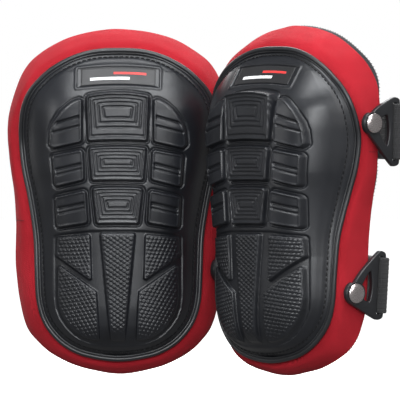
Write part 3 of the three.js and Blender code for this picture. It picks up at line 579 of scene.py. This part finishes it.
def tube(path, radius, seg_n, up, flat=1.0):
    """Closed tube along a closed path."""
    t = unit(np.roll(path, -1, 0) - np.roll(path, 1, 0))
    s1 = unit(np.cross(up, t))
    s2 = np.cross(t, s1)
    w = np.linspace(0, 2 * math.pi, seg_n, endpoint=False)
    V = path[:, None] + radius * (np.cos(w)[None, :, None] * s1[:, None] + flat * np.sin(w)[None, :, None] * s2[:, None])
    n = len(path)
    faces = [(i * seg_n + k, i * seg_n + (k + 1) % seg_n, ((i + 1) % n) * seg_n + (k + 1) % seg_n, ((i + 1) % n) * seg_n + k) for i in range(n) for k in range(seg_n)]
    return V.reshape(-1, 3), faces


def capsules(points, dirs, normals, length, radius, side, name, mat, bow=0.25):
    """Short stitches that dip at both ends."""
    V, F = [], []
    prof = [(-0.5, 0.30, -0.75), (-0.42, 0.75, -0.35), (-0.25, 1.0, 0.0), (0.0, 1.0, 0.12), (0.25, 1.0, 0.0), (0.42, 0.75, -0.35), (0.5, 0.30, -0.75)]
    for p, d, n in zip(points, dirs, normals):
        s = np.cross(d, n)
        base = len(V)
        for u, r, drop in prof:
            c = p + d * (u * length) + n * (drop * bow)
            for k in range(6):
                a = k * math.pi / 3
                V.append(c + radius * r * (math.cos(a) * s + math.sin(a) * n))
        for j in range(len(prof) - 1):
            for k in range(6):
                F.append((base + j * 6 + k, base + j * 6 + (k + 1) % 6, base + (j + 1) * 6 + (k + 1) % 6, base + (j + 1) * 6 + k))
        F.append(tuple(base + k for k in range(6))[::-1])
        F.append(tuple(base + (len(prof) - 1) * 6 + k for k in range(6)))
    return make(name, V, F, mat, side)


def along(path, pitch, closed=True):
    """Even points and directions along a path."""
    P = np.vstack([path, path[:1]]) if closed else path
    L = np.concatenate([[0], np.cumsum(np.linalg.norm(np.diff(P, axis=0), axis=1))])
    n = max(2, int(round(L[-1] / pitch)))
    q = (np.arange(n) + 0.5) * L[-1] / n
    pts = np.stack([np.interp(q, L, P[:, k]) for k in range(P.shape[1])], 1)
    a = np.stack([np.interp((q + 0.4) % L[-1] if closed else np.minimum(q + 0.4, L[-1]), L, P[:, k]) for k in range(P.shape[1])], 1)
    b = np.stack([np.interp((q - 0.4) % L[-1] if closed else np.maximum(q - 0.4, 0), L, P[:, k]) for k in range(P.shape[1])], 1)
    return pts, unit(a - b)


def surface_normal(f, x, z, e=0.4):
    gx = (f(x + e, z) - f(x - e, z)) / (2 * e)
    gz = (f(x, z + e) - f(x, z - e)) / (2 * e)
    return unit(np.stack([gx, -np.ones_like(gx), gz], -1))


def build_piping(side):
    off = LOOP[:, :2] - 2.0 * NRM
    y = base_depth(off[:, 0], off[:, 1]) - PIPING_R - 1.0
    P = np.stack([off[:, 0] + 0.55 * NRM[:, 0], y, off[:, 1] + 0.55 * NRM[:, 1]], 1)
    V, F = tube(P, PIPING_R, 12, np.array([0.0, 1.0, 0.0]), 1.0)
    place(make(f"{side}_piping_bead", V, F, MAT["piping"], side), f"{side}_pad", "piping", f"{side}_piping")
    # thin welt between the bead and the cap
    off2 = LOOP[:, :2] - (RIM + 0.25) * NRM
    y2 = cap_depth(off2[:, 0], off2[:, 1]) - 0.15
    V, F = tube(np.stack([off2[:, 0], y2, off2[:, 1]], 1), 0.75, 8, np.array([0.0, 1.0, 0.0]), 0.9)
    place(make(f"{side}_piping_welt", V, F, MAT["piping"], side), f"{side}_pad", "piping")
    # stitches in the channel
    st = EDGE - STITCH_IN * NRM
    pts2, d2 = along(st, 3.9)
    x, z = pts2[:, 0], pts2[:, 1]
    y = cap_front(x, z)
    n = surface_normal(cap_depth, x, z)
    d = np.stack([d2[:, 0], np.zeros(len(d2)), d2[:, 1]], 1)
    d = unit(d - n * np.sum(d * n, 1, keepdims=True))
    P = np.stack([x, y, z], 1) + n * 0.28
    place(capsules(P, d, n, 3.0, 0.5, side, f"{side}_cap_stitches", MAT["thread"]), f"{side}_pad", "piping")


def slab_patch(side, name, x0, x1, z0, z1, front, back, mat, nx, nz, soft=0.25, corner=0.0):
    """A thin plate in the badge's recess, with eased edges; front and back are heights over the cap's surface."""
    u, v = np.linspace(0, 1, nx), np.linspace(0, 1, nz)
    ease = lambda n: np.concatenate([[0, 0.3 / n], np.linspace(1.0 / n, 1 - 1.0 / n, n - 4), [1 - 0.3 / n, 1]])
    u, v = ease(nx), ease(nz)
    vv, uu = np.meshgrid(v, u, indexing="ij")
    x, zf = x0 + (x1 - x0) * uu, z0 + (z1 - z0) * vv
    z = zf + LABEL_ARCH * (1 - np.clip(np.abs(x) / 30.6, 0, 1) ** 2)
    y = cap_depth(x, z)
    edge = np.minimum.reduce([x - x0, x1 - x, zf - z0, z1 - zf])
    f = y - (front - soft * (1 - ss(edge / 0.5)))
    top = np.stack([x, f, z], -1).reshape(-1, 3)
    low = np.stack([x, y - back, z], -1).reshape(-1, 3)
    r, c = x.shape
    idx = np.arange(r * c).reshape(r, c)
    rim = list(idx[0]) + list(idx[1:, -1]) + list(idx[-1, ::-1][1:]) + list(idx[1:-1, 0][::-1])
    o = r * c
    faces = grid_faces(r, c) + [tuple(reversed(q)) for q in grid_faces(r, c, o)]
    faces += [(rim[i], rim[(i + 1) % len(rim)], rim[(i + 1) % len(rim)] + o, rim[i] + o) for i in range(len(rim))]
    return make(name, np.concatenate([top, low]), faces, mat, side)


def build_badge(side):
    place(slab_patch(side, f"{side}_badge_plate", -27.0, 27.0, 82.6, 94.8, 0.15, -0.9, MAT["badge"], 60, 20), f"{side}_pad", "badge", f"{side}_badge")
    place(slab_patch(side, f"{side}_badge_bar_white", -20.5, 8.5, 85.6, 87.9, 0.35, 0.0, MAT["white"], 40, 9), f"{side}_pad", "badge")
    place(slab_patch(side, f"{side}_badge_bar_red", -3.5, 20.5, 89.6, 91.5, 0.35, 0.0, MAT["redbar"], 36, 9), f"{side}_pad", "badge")


# ------------------------------------------------------------------ fabric base
def base_profile(edge, step):
    """Front sheet of the base: array (rings, stations, 3), normals and thickness of foam, ring by ring."""
    L = LOOP[::step]
    N = NRM[::step]
    tip2 = loop(mirrored(edge), M)[::step]                   # x, z, y
    tip = np.stack([tip2[:, 0], tip2[:, 2], tip2[:, 1]], 1)
    ringp = lambda r: np.stack([L[:, 0] * r, base_depth(L[:, 0] * r, CZ + (L[:, 1] - CZ) * r), CZ + (L[:, 1] - CZ) * r], 1)
    c = np.stack([L[:, 0], L[:, 2], L[:, 1]], 1)
    mid = (c + tip) / 2 + np.stack([N[:, 0] * 1.2, np.full(len(N), -1.2), N[:, 1] * 1.2], 1)
    rings = np.stack([ringp(0.06), ringp(0.45), ringp(0.78), c, mid, tip])
    foam = np.array([7, 7, 7, 6, 3.5, 1.0])[:, None, None] * np.ones((1, len(L), 1))
    m = 5
    P, T = open_curve(rings, m), open_curve(foam, m)[..., 0]
    du = np.roll(P, -1, 1) - np.roll(P, 1, 1)
    dv = np.gradient(P, axis=0)
    n = unit(np.cross(du, dv))
    if n[2 * m, :, 1].mean() > 0:
        n = -n
    return P, n, T, m


def wobble(P, seed, scale=22.0):
    """Smooth pseudo-noise from a few fixed sine waves."""
    r = np.random.default_rng(seed)
    out = np.zeros(P.shape[:-1])
    for _ in range(9):
        k = unit(r.normal(size=3)) * 2 * math.pi / (scale * r.uniform(0.6, 1.8))
        out += np.sin(P @ k + r.uniform(0, 6.28))
    return out / 4.5


def closed_sheet(front, back, rim_rings):
    """A closed body from a front sheet, rings round the rim, and a back sheet; each sheet is (rings, stations, 3), from the middle out."""
    R = np.concatenate([front, rim_rings, back[::-1]])
    rows, cols = R.shape[:2]
    V = np.concatenate([R.reshape(-1, 3), R[0].mean(0, keepdims=True), R[-1].mean(0, keepdims=True)])
    F = grid_faces(rows, cols, 0, True)
    F += [(i, (i + 1) % cols, rows * cols) for i in range(cols)]
    F += [((rows - 1) * cols + (i + 1) % cols, (rows - 1) * cols + i, rows * cols + 1) for i in range(cols)]
    return V, F, rows, cols


def rim_arc(tip_f, tip_b, out, steps=5, grow=1.0):
    """Half-round rim between two edges."""
    c, r = (tip_f + tip_b) / 2, np.linalg.norm(tip_f - tip_b, axis=1, keepdims=True) / 2
    up = unit(tip_f - tip_b)
    rings = []
    for k in range(1, steps + 1):
        w = math.pi * k / (steps + 1)
        rings.append(c + up * r * math.cos(w) + out * r * grow * math.sin(w))
    return np.array(rings)


def build_base(side, edge):
    P, n, T, m = base_profile(edge, 2)
    out = unit(P[-1] - P[-3])
    # red cover over the foam
    v = np.arange(P.shape[0]) / m                              # 0 middle .. 5 tip
    free = ss((v - 3.0) / 0.5)[:, None] * np.ones(P.shape[:2])
    bulge = 0.8 * np.sin(np.clip((v - 3.0) / 2.0, 0, 1) * math.pi)[:, None]
    rip = wobble(P, 3 if side == "left" else 5, 26) * 0.38 + wobble(P * 1.0, 8, 9) * 0.10
    d = free * rip + bulge
    # darts: short sewn tucks on both sides
    for zd in ((-16.0,) if side == "left" else (34.0,)):
        g = np.exp(-((P[..., 2] - zd) / 0.9) ** 2) * ss((v - 4.1) / 0.4)[:, None]
        d = d - 0.7 * g
    front = P + n * d[..., None]
    thin = T * (1 - ss((v - 3.9) / 1.0))[:, None]
    back = P - n * (1.5 + 0.3 + thin)[..., None]
    rim = rim_arc(front[-1], back[-1], out, 5, 1.0)
    V, F, rows, cols = closed_sheet(front, back, rim)
    ob = make(f"{side}_base_cover_fabric", V, F, MAT["red"], side)
    sub = ob.modifiers.new("s", "SUBSURF")
    sub.levels = sub.render_levels = 1
    place(ob, f"{side}_pad", "red_fabric", f"{side}_base_cover", f"{side}_base_foam")
    # a sewn line along each dart, its thread painted dark red as painted shade of the tuck
    i0 = int(3.6 * m)
    for k, zd in enumerate((-16.0,) if side == "left" else (34.0,)):
        for sx in (-1, 1):
            line, up = [], []
            for i in range(i0, P.shape[0]):
                j = int(np.argmin(np.abs(P[i, :, 2] - zd) + 1000 * (P[i, :, 0] * sx < 0)))
                line.append(front[i, j])
                up.append(n[i, j])
            line, up = np.array(line), np.array(up)
            pts, dv = along(line, 2.3, closed=False)
            q = np.linspace(0, len(up) - 1, len(pts))
            nn = unit(np.stack([np.interp(q, np.arange(len(up)), up[:, a]) for a in range(3)], 1))
            nn = unit(nn - dv * np.sum(nn * dv, 1, keepdims=True))
            tag = "in" if sx < 0 else "out"
            place(capsules(pts, dv, nn, 2.1, 0.32, side, f"{side}_dart_{k}_{tag}", MAT["dart_thread_painted_shade"], 0.2), f"{side}_pad", "red_fabric")
    return P, n, T, out


def apply_modifiers(ob):
    dg = bpy.context.evaluated_depsgraph_get()
    me = bpy.data.meshes.new_from_object(ob.evaluated_get(dg))
    mats = list(ob.data.materials)
    ob.modifiers.clear()
    ob.data = me
    me.materials.clear()
    for x in mats:
        me.materials.append(x)
    return ob


def build_liner(side, edge):
    P, n, T, m = base_profile(edge, 4)
    out = unit(P[-1] - P[-3])
    v = np.arange(P.shape[0]) / m
    # the liner's lip shows past the red face, except where the straps turn round the edge
    lip = np.full(P.shape[1], 0.9)
    if side == "right":
        tip = P[-1]
        clear = np.ones(len(tip))
        for zc in (52.0, -62.0):
            clear = clear * (1 - np.exp(-((tip[:, 2] - zc) / 30.0) ** 4) * (tip[:, 0] > 0))
        lip = 0.9 + 3.4 * clear * ss((tip[:, 2] + 10.0) / 40.0)
    grow = ss((v - 4.0) / 1.0)[:, None, None] * (out * lip[:, None])[None]
    thin = T * (1 - ss((v - 3.9) / 1.0))[:, None]
    inner = P + grow - n * (1.5 + 0.3 + thin + 0.1)[..., None]
    outer = P + grow - n * (1.3 + 0.3 + T + 0.3 + 1.3)[..., None]
    rim = rim_arc(inner[-1], outer[-1], out, 3, 1.0)
    V, F, rows, cols = closed_sheet(inner, outer, rim)
    ob = make(f"{side}_base_liner_quilted", V, F, MAT["liner"], side)
    # quilting: an oval seam and two cross seams held down; pressure fills the cloth between them
    W = np.concatenate([P, rim, P[::-1]]).reshape(-1, 3)
    vv = np.concatenate([v, np.full(3, 9.0), v[::-1]])
    vv = np.repeat(vv, cols)
    is_back = np.concatenate([np.zeros(len(v), bool), np.zeros(3, bool), np.ones(len(v), bool)])
    is_back = np.repeat(is_back, cols)
    x, z = W[:, 0], W[:, 2]
    seam = (np.abs(vv - 2.0) < 0.11) | (vv > 3.05)
    inside = vv < 2.0
    for zs in (40.0, -40.0):
        seam |= inside & (np.abs(z - zs - 0.10 * (np.abs(x) - 20)) < 2.6)
    hold = np.ones(len(V))
    hold[:len(W)] = np.where(is_back & ~seam, 0.0, 1.0)
    hold[-1] = 0.0
    g = ob.vertex_groups.new(name="pin")
    for i, w in enumerate(hold):
        if w > 0:
            g.add([i], float(w), "REPLACE")
    rest = world(V, side)
    co = rest.copy()
    cl = ob.modifiers.new("cloth", "CLOTH")
    st = cl.settings
    st.quality = 6
    st.mass = 0.3
    st.tension_stiffness = st.compression_stiffness = 12
    st.shear_stiffness = 6
    st.bending_stiffness = 0.4
    st.use_pressure = True
    st.uniform_pressure_force = 4
    st.vertex_group_mass = "pin"
    st.effector_weights.gravity = 0
    st.shrink_min = -0.06
    cl.collision_settings.use_collision = False
    scene = bpy.context.scene
    for f in range(1, 21):
        scene.frame_set(f)
    dg = bpy.context.evaluated_depsgraph_get()
    me = ob.evaluated_get(dg).to_mesh()
    co = np.empty(len(V) * 3)
    me.vertices.foreach_get("co", co)
    co = co.reshape(-1, 3)
    ob.evaluated_get(dg).to_mesh_clear()
    ob.modifiers.clear()
    scene.frame_set(1)
    move = co - rest
    ln = np.linalg.norm(move, axis=1, keepdims=True)
    cap = 0.0032
    move *= np.minimum(1, cap / np.maximum(ln, 1e-9))
    co = rest + move
    ob.data.vertices.foreach_set("co", co.reshape(-1))
    ob.data.update()
    sub = ob.modifiers.new("s", "SUBSURF")
    sub.levels = sub.render_levels = 2
    apply_modifiers(ob)
    ob.data.polygons.foreach_set("use_smooth", [True] * len(ob.data.polygons))
    place(ob, f"{side}_pad", "liner_fabric", f"{side}_base_liner")
    # seam stitches on the oval seam, and the edge's overlock
    k = 2 * m
    ring = outer[k] - n[k] * 0.25
    pts, d = along(ring, 3.6)
    nb = -np.stack([np.interp(np.arange(len(pts)) / len(pts) * cols, np.arange(cols + 1), np.append(n[k][:, q], n[k][0, q])) for q in range(3)], 1)
    nb = unit(nb)
    d = unit(d - nb * np.sum(d * nb, 1, keepdims=True))
    place(capsules(pts, d, nb, 2.7, 0.38, side, f"{side}_liner_seam", MAT["thread"]), f"{side}_pad", "liner_fabric")
    ring = rim[1] + out * 0.15
    pts, d = along(ring, 2.6)
    q = np.arange(len(pts)) / len(pts) * cols
    oo = unit(np.stack([np.interp(q, np.arange(cols + 1), np.append(out[:, a], out[0, a])) for a in range(3)], 1))
    tt = unit(np.cross(d, oo))
    place(capsules(pts, unit(tt + 0.35 * d), oo, 1.9, 0.26, side, f"{side}_edge_overlock", MAT["thread"], 0.15), f"{side}_pad", "liner_fabric")


# ------------------------------------------------------------------ clips, studs, straps
def chaikin(P, times=2, keep=0.22):
    P = np.array(P, float)
    for _ in range(times):
        Q = np.roll(P, -1, 0)
        P = np.stack([P * (1 - keep) + Q * keep, P * keep + Q * (1 - keep)], 1).reshape(-1, 2)
    return P


def flat_part(name, outlines, thick, bevel, to_world, mat):
    """A plate with holes and rounded edges, from outlines in its own plane."""
    cu = bpy.data.curves.new(name, "CURVE")
    cu.dimensions, cu.fill_mode = "2D", "BOTH"
    for P in outlines:
        sp = cu.splines.new("POLY")
        sp.points.add(len(P) - 1)
        for q, (x, y) in zip(sp.points, P):
            q.co = (x, y, 0, 1)
        sp.use_cyclic_u = True
    cu.extrude, cu.bevel_depth, cu.bevel_resolution, cu.offset = thick / 2 - bevel, bevel, 3, -bevel
    tmp = bpy.data.objects.new(name + "_tmp", cu)
    bpy.context.scene.collection.objects.link(tmp)
    bpy.context.view_layer.update()
    me = bpy.data.meshes.new_from_object(tmp.evaluated_get(bpy.context.evaluated_depsgraph_get()))
    bpy.data.objects.remove(tmp)
    import bmesh
    bm = bmesh.new()
    bm.from_mesh(me)
    bmesh.ops.remove_doubles(bm, verts=bm.verts, dist=0.01)
    for v in bm.verts:
        v.co = Vector(to_world(np.array(v.co)))
    bmesh.ops.recalc_face_normals(bm, faces=bm.faces)
    bm.to_mesh(me)
    bm.free()
    me.materials.clear()
    me.materials.append(mat)
    me.polygons.foreach_set("use_smooth", [True] * len(me.polygons))
    ob = bpy.data.objects.new(name, me)
    bpy.context.scene.collection.objects.link(ob)
    return sharp_by_angle(ob, 40)


def lathe(name, profile, f, side, mat, segs=56, closed=False):
    """Turned part about the clip's normal; profile in (radius, height)."""
    Q, a, n, b = (np.array(f[k], float) for k in ("Q", "a", "n", "b"))
    V, F = [], []
    w = np.linspace(0, 2 * math.pi, segs, endpoint=False)
    for r, h in profile:
        for t in w:
            V.append(Q + n * h + r * (math.cos(t) * a + math.sin(t) * b))
    k = len(profile)
    for j in range(k if closed else k - 1):
        for i in range(segs):
            i2, j2 = (i + 1) % segs, (j + 1) % k
            F.append((j * segs + i, j * segs + i2, j2 * segs + i2, j2 * segs + i))
    if not closed:
        F.append(tuple(range(segs)))
        F.append(tuple(range((k - 1) * segs, k * segs))[::-1])
    return sharp_by_angle(make(name, V, F, mat, side), 32)


def rounded(points, r=0.4, steps=4):
    """Rounds the corners of an open profile."""
    P = [np.array(p, float) for p in points]
    out = [P[0]]
    for a, b, c in zip(P, P[1:], P[2:]):
        d1, d2 = np.linalg.norm(a - b), np.linalg.norm(c - b)
        q = min(r, d1 / 2.2, d2 / 2.2)
        s, e = b + (a - b) / d1 * q, b + (c - b) / d2 * q
        out += [(1 - t) ** 2 * s + 2 * t * (1 - t) * b + t * t * e for t in np.linspace(0, 1, steps)]
    return out + [P[-1]]


CLIP_T, CLIP_BASE = 4.0, 1.7


def build_fastening(side, which):
    f = CLIPS[f"{side}_{which}"]
    Q, a, n, b = (np.array(f[k], float) for k in ("Q", "a", "n", "b"))
    L, sh, body = f["L"], f["sh"], f"{side}_{which}_clip"
    H, R = 50, 8.6
    y1, y0 = sh + H / 2, sh - H / 2
    outline = [[R * math.cos(t), R * math.sin(t)] for t in np.radians(np.linspace(112, 248, 25))]
    arm = [[L - 7.5, y0 + 0.5], [L - 5, y0], [L - 1.5, y0 + 1], [L, y0 + 3.5], [L, y1 - 3.5], [L - 1.5, y1 - 1], [L - 5, y1], [L - 7.5, y1 - 0.5]]
    arms = chaikin([outline[-1]] + arm + [outline[0]], 3, 0.25)
    keep = [p for p in arms if p[0] > -2.2]
    shape = np.array(outline[1:-1] + keep)
    hole = [[2.75 * math.cos(t), 2.75 * math.sin(t)] for t in np.radians(np.linspace(60, 300, 17))]
    win = [[4.6, -3.0 + sh * 0.2], [12.2, sh * 0.85 - 12.0], [14, sh * 0.85 - 9], [15.2, sh * 0.85], [14, sh * 0.85 + 9], [12.2, sh * 0.85 + 12.0], [4.6, 3.0 + sh * 0.2]]
    window = chaikin(hole + win, 2, 0.25)
    slot = chaikin([[L - 6.8, sh - 20.6], [L - 3.9, sh - 20.6], [L - 3.9, sh + 20.6], [L - 6.8, sh + 20.6]], 2, 0.06)
    mid = CLIP_BASE + CLIP_T / 2

    def to_world(p):
        x, y, h = p
        return world(Q + a * x + b * y + n * (h + mid), side)
    clip = flat_part(f"{body}_moulding", [shape, window, slot], CLIP_T, 0.85, to_world, MAT["clip"])
    place(clip, body, "clip_plastic", f"{side}_{which}_clip")
    # raised ring round the stud
    top = CLIP_BASE + CLIP_T
    ring = lathe(f"{body}_boss", rounded([[7.35, top - 0.6], [8.3, top - 0.6], [8.1, top + 0.75], [7.45, top + 0.75], [7.35, top - 0.6]], 0.25), f, side, MAT["clip"], closed=False)
    place(ring, body, "clip_plastic")
    # stud with its low domed head, pressed rim and shank
    t2, sr, bT = top + 0.4, 2.2, f["backT"]
    prof = rounded([[0.02, t2 + 2.35], [3.4, t2 + 2.25], [5.2, t2 + 1.95], [6.5, t2 + 1.45], [7.1, t2 + 0.75], [7.1, t2 + 0.1], [6.6, t2], [sr, t2], [sr, bT - 1.7], [0.02, bT - 1.9]], 0.45, 5)
    stud = lathe(f"{side}_{which}_stud_turned", prof, f, side, MAT["metal"], 64)
    place(stud, f"{side}_pad", "polished_metal", f"{side}_{which}_stud")
    w0, w1 = bT - 1.3, bT
    wp = [[2.5, w0 + 0.1], [2.7, w0], [5.3, w0], [5.6, w0 + 0.3], [5.6, w1 - 0.3], [5.3, w1], [2.7, w1], [2.5, w1 - 0.1]]
    place(lathe(f"{side}_{which}_washer_turned", wp, f, side, MAT["metal"], 40, closed=True), f"{side}_pad", "polished_metal", f"{side}_{which}_stud_washer")

    # webbing: free tail, slot leg, over the bar, outer leg, then across to the far wing
    st = np.array(f["st"], float)
    P, U = st[:, :3], unit(st[:, 3:])
    t = np.gradient(P, axis=0)
    t[0] = -n
    v = unit(np.cross(unit(t), U))
    lift = np.array([7.0 + (2.3 - 7.0) * min(1, q / 2.5) for q in range(7)])
    tail = P[:7] - v[:7] * lift[:, None]
    at = lambda x, h: Q + a * x + n * h + b * sh
    nt = CLIP_BASE + CLIP_T
    i_, o_, hi = L - 5.0, L + 1.1, nt + 1.1
    over = [at(i_, -6.0), at(i_, -2.0), at(i_, 2.5), at(i_ + 0.05, hi - 1.2), at(i_ + 0.75, hi - 0.25), at((i_ + o_) / 2 - 0.9, hi), at((i_ + o_) / 2 + 0.9, hi), at(o_ - 0.75, hi - 0.25), at(o_ - 0.05, hi - 1.2), at(o_, 2.5), at(o_, -2.0), at(o_, -6.0)]
    path = np.array(list(tail[::-1][:-1]) + over + list(P[1:]))
    us = np.array(list(U[:7][::-1][:-1]) + [b] * len(over) + list(U[1:]))
    curve, uu = open_curve(path, 5), unit(open_curve(us, 5))
    tt = unit(np.gradient(curve, axis=0))
    vv = unit(np.cross(tt, uu))
    uu = unit(np.cross(vv, tt))
    # cross-section: 40 mm wide with fine cords and rounded selvedges
    nc = 44
    s = np.linspace(-1, 1, nc)
    half = 0.80 * np.minimum(1, np.sqrt(np.clip(1 - np.abs(s) ** 26, 0, 1)) + 0.18) + 0.10 * np.cos(s * math.pi * 13) * (np.abs(s) < 0.96)
    top_s = np.stack([s * 20, half], 1)
    sec = np.concatenate([top_s, np.stack([s[::-1] * 20, -half[::-1]], 1)])
    V = curve[:, None] + sec[None, :, :1] * uu[:, None] + sec[None, :, 1:] * vv[:, None]
    rows, cols = V.shape[:2]
    F = grid_faces(rows, cols, 0, True) + [tuple(range(cols))[::-1], tuple(range((rows - 1) * cols, rows * cols))]
    web = make(f"{side}_{which}_webbing", V, F, MAT["webbing"], side)
    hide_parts(f"{side}_{which}_strap", f"{side}_{which}_strap_fold", f"{side}_{which}_strap_tail")
    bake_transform(web)

    # sewn patch at the far wing, with a box of stitches
    la, lb = P[-2], P[-1]
    tdir = unit(lb - la)
    vdir = unit(np.cross(tdir, U[-1]))
    udir = np.cross(vdir, tdir)
    centre = (la + lb) / 2 - vdir * 1.7
    hl, hw = np.linalg.norm(lb - la) / 2, 19.0
    nu, nv = 16, 40
    gu, gv = np.meshgrid(np.linspace(-1, 1, nu), np.linspace(-1, 1, nv), indexing="ij")
    rr = np.minimum(hl - np.abs(gu) * hl, hw - np.abs(gv) * hw)
    hgt = 0.5 * ss(rr / 0.9 + 0.25)
    up_s = centre + gu[..., None] * hl * tdir + gv[..., None] * hw * udir
    topg, lowg = up_s - hgt[..., None] * vdir, up_s + 0.5 * vdir
    idx = np.arange(nu * nv).reshape(nu, nv)
    rim = list(idx[0]) + list(idx[1:, -1]) + list(idx[-1, ::-1][1:]) + list(idx[1:-1, 0][::-1])
    o = nu * nv
    F = grid_faces(nu, nv) + [tuple(reversed(q)) for q in grid_faces(nu, nv, o)]
    F += [(rim[i], rim[(i + 1) % len(rim)], rim[(i + 1) % len(rim)] + o, rim[i] + o) for i in range(len(rim))]
    place(make(f"{side}_{which}_patch_sewn", np.concatenate([topg.reshape(-1, 3), lowg.reshape(-1, 3)]), F, MAT["liner"], side), f"{side}_pad", "liner_fabric", f"{side}_{which}_strap_patch")
    box = [(-0.7, -0.9), (-0.7, 0.9), (0.7, 0.9), (0.7, -0.9), (-0.7, -0.9), (0.7, 0.9), (0.7, -0.9), (-0.7, 0.9)]
    pts = np.array([centre - 0.55 * vdir + tdir * hl * p + udir * hw * q for p, q in box])
    dense = np.concatenate([np.linspace(p, q, 30)[:-1] for p, q in zip(pts, pts[1:])])
    sp, sdv = along(dense, 3.2, closed=False)
    place(capsules(sp, sdv, np.repeat(-vdir[None], len(sp), 0), 2.5, 0.34, side, f"{side}_{which}_patch_stitches", MAT["thread"], 0.15), f"{side}_pad", "liner_fabric")


for side, edge in (("left", BL), ("right", BR)):
    build_cap(side)
    build_piping(side)
    build_badge(side)
    build_base(side, edge)
    build_liner(side, edge)
    for which in ("upper", "lower"):
        build_fastening(side, which)

# ------------------------------------------------------------------ floor, light and camera
lo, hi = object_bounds()


def stage_mat():
    m, nt, b = new_mat("mat_stage")
    v = coords(nt)
    nt.links.new(ramp(nt, noise(nt, v, 3, 2), [(0.0, (0.90, 0.90, 0.90)), (1.0, (0.93, 0.93, 0.93))]), b.inputs["Base Color"])
    b.inputs["Roughness"].default_value = 0.95
    b.inputs["Specular IOR Level"].default_value = 0.0
    b.inputs["Emission Color"].default_value = (1, 1, 1, 1)
    b.inputs["Emission Strength"].default_value = 0.96
    return m


def build_stage():
    n, z0 = 24, lo.z - 0.0006
    g = np.linspace(-1, 1, n) ** 3 * 60
    yy, xx = np.meshgrid(g, g, indexing="ij")
    V = np.stack([xx, yy, np.full(xx.shape, z0)], -1).reshape(-1, 3)
    ob = make("stage_floor", V, grid_faces(n, n), stage_mat())
    ob.visible_glossy = ob.visible_diffuse = False


build_stage()


def area(name, loc, target, size, power, colour=(1, 1, 1)):
    li = bpy.data.lights.new(name, "AREA")
    li.shape, li.size, li.size_y, li.energy, li.color = "RECTANGLE", size[0], size[1], power, colour
    ob = bpy.data.objects.new(name, li)
    bpy.context.scene.collection.objects.link(ob)
    ob.location = loc
    ob.rotation_mode = "QUATERNION"
    ob.rotation_quaternion = (Vector(target) - Vector(loc)).to_track_quat("-Z", "Y")
    return ob


MIDDLE = (0.056, -0.06, 0.0)
area("light_top", (0.05, -0.50, 1.15), (0.056, -0.05, 0.02), (1.0, 0.6), 17, (0.96, 0.98, 1.0))
area("light_front", (0.0, -2.7, 0.60), MIDDLE, (0.9, 0.7), 43, (0.96, 0.98, 1.0))
area("light_left", (-1.2, -0.55, 0.45), MIDDLE, (0.35, 0.9), 4)
area("light_right", (0.95, -1.1, 0.75), (0.12, -0.08, 0.03), (0.45, 1.3), 9)
area("light_back", (0.3, 0.9, 0.9), (0.05, 0.0, 0.0), (1.0, 0.6), 13)
area("light_back_left", (-0.8, 1.3, 0.4), (0.02, 0.0, 0.0), (0.7, 0.8), 7)

wd = bpy.data.worlds.new("studio")
bpy.context.scene.world = wd
wd.use_nodes = True
wd.node_tree.nodes["Background"].inputs["Color"].default_value = (1, 1, 1, 1)
wd.node_tree.nodes["Background"].inputs["Strength"].default_value = 0.20
wn = wd.node_tree
white = wn.nodes.new("ShaderNodeBackground")
white.inputs["Color"].default_value = (1, 1, 1, 1)
white.inputs["Strength"].default_value = 1.0
mixer, rays = wn.nodes.new("ShaderNodeMixShader"), wn.nodes.new("ShaderNodeLightPath")
wn.links.new(rays.outputs["Is Camera Ray"], mixer.inputs[0])
wn.links.new(wn.nodes["Background"].outputs[0], mixer.inputs[1])
wn.links.new(white.outputs[0], mixer.inputs[2])
wn.links.new(mixer.outputs[0], wn.nodes["World Output"].inputs["Surface"])
bpy.context.scene.view_settings.view_transform = "Standard"

cam_data = bpy.data.cameras.new("camera")
cam = bpy.data.objects.new("camera", cam_data)
bpy.context.scene.collection.objects.link(cam)
DIST = 7.0
cam.location = (0.05898, -0.039994 - DIST, 0.00036)
cam.rotation_euler = (math.radians(90), 0, 0)
cam_data.sensor_width = 36
cam_data.lens = 36 * (DIST - 0.010) / 0.289
cam_data.clip_start, cam_data.clip_end = 0.1, 60
cam_data.dof.use_dof = False
bpy.context.scene.camera = cam
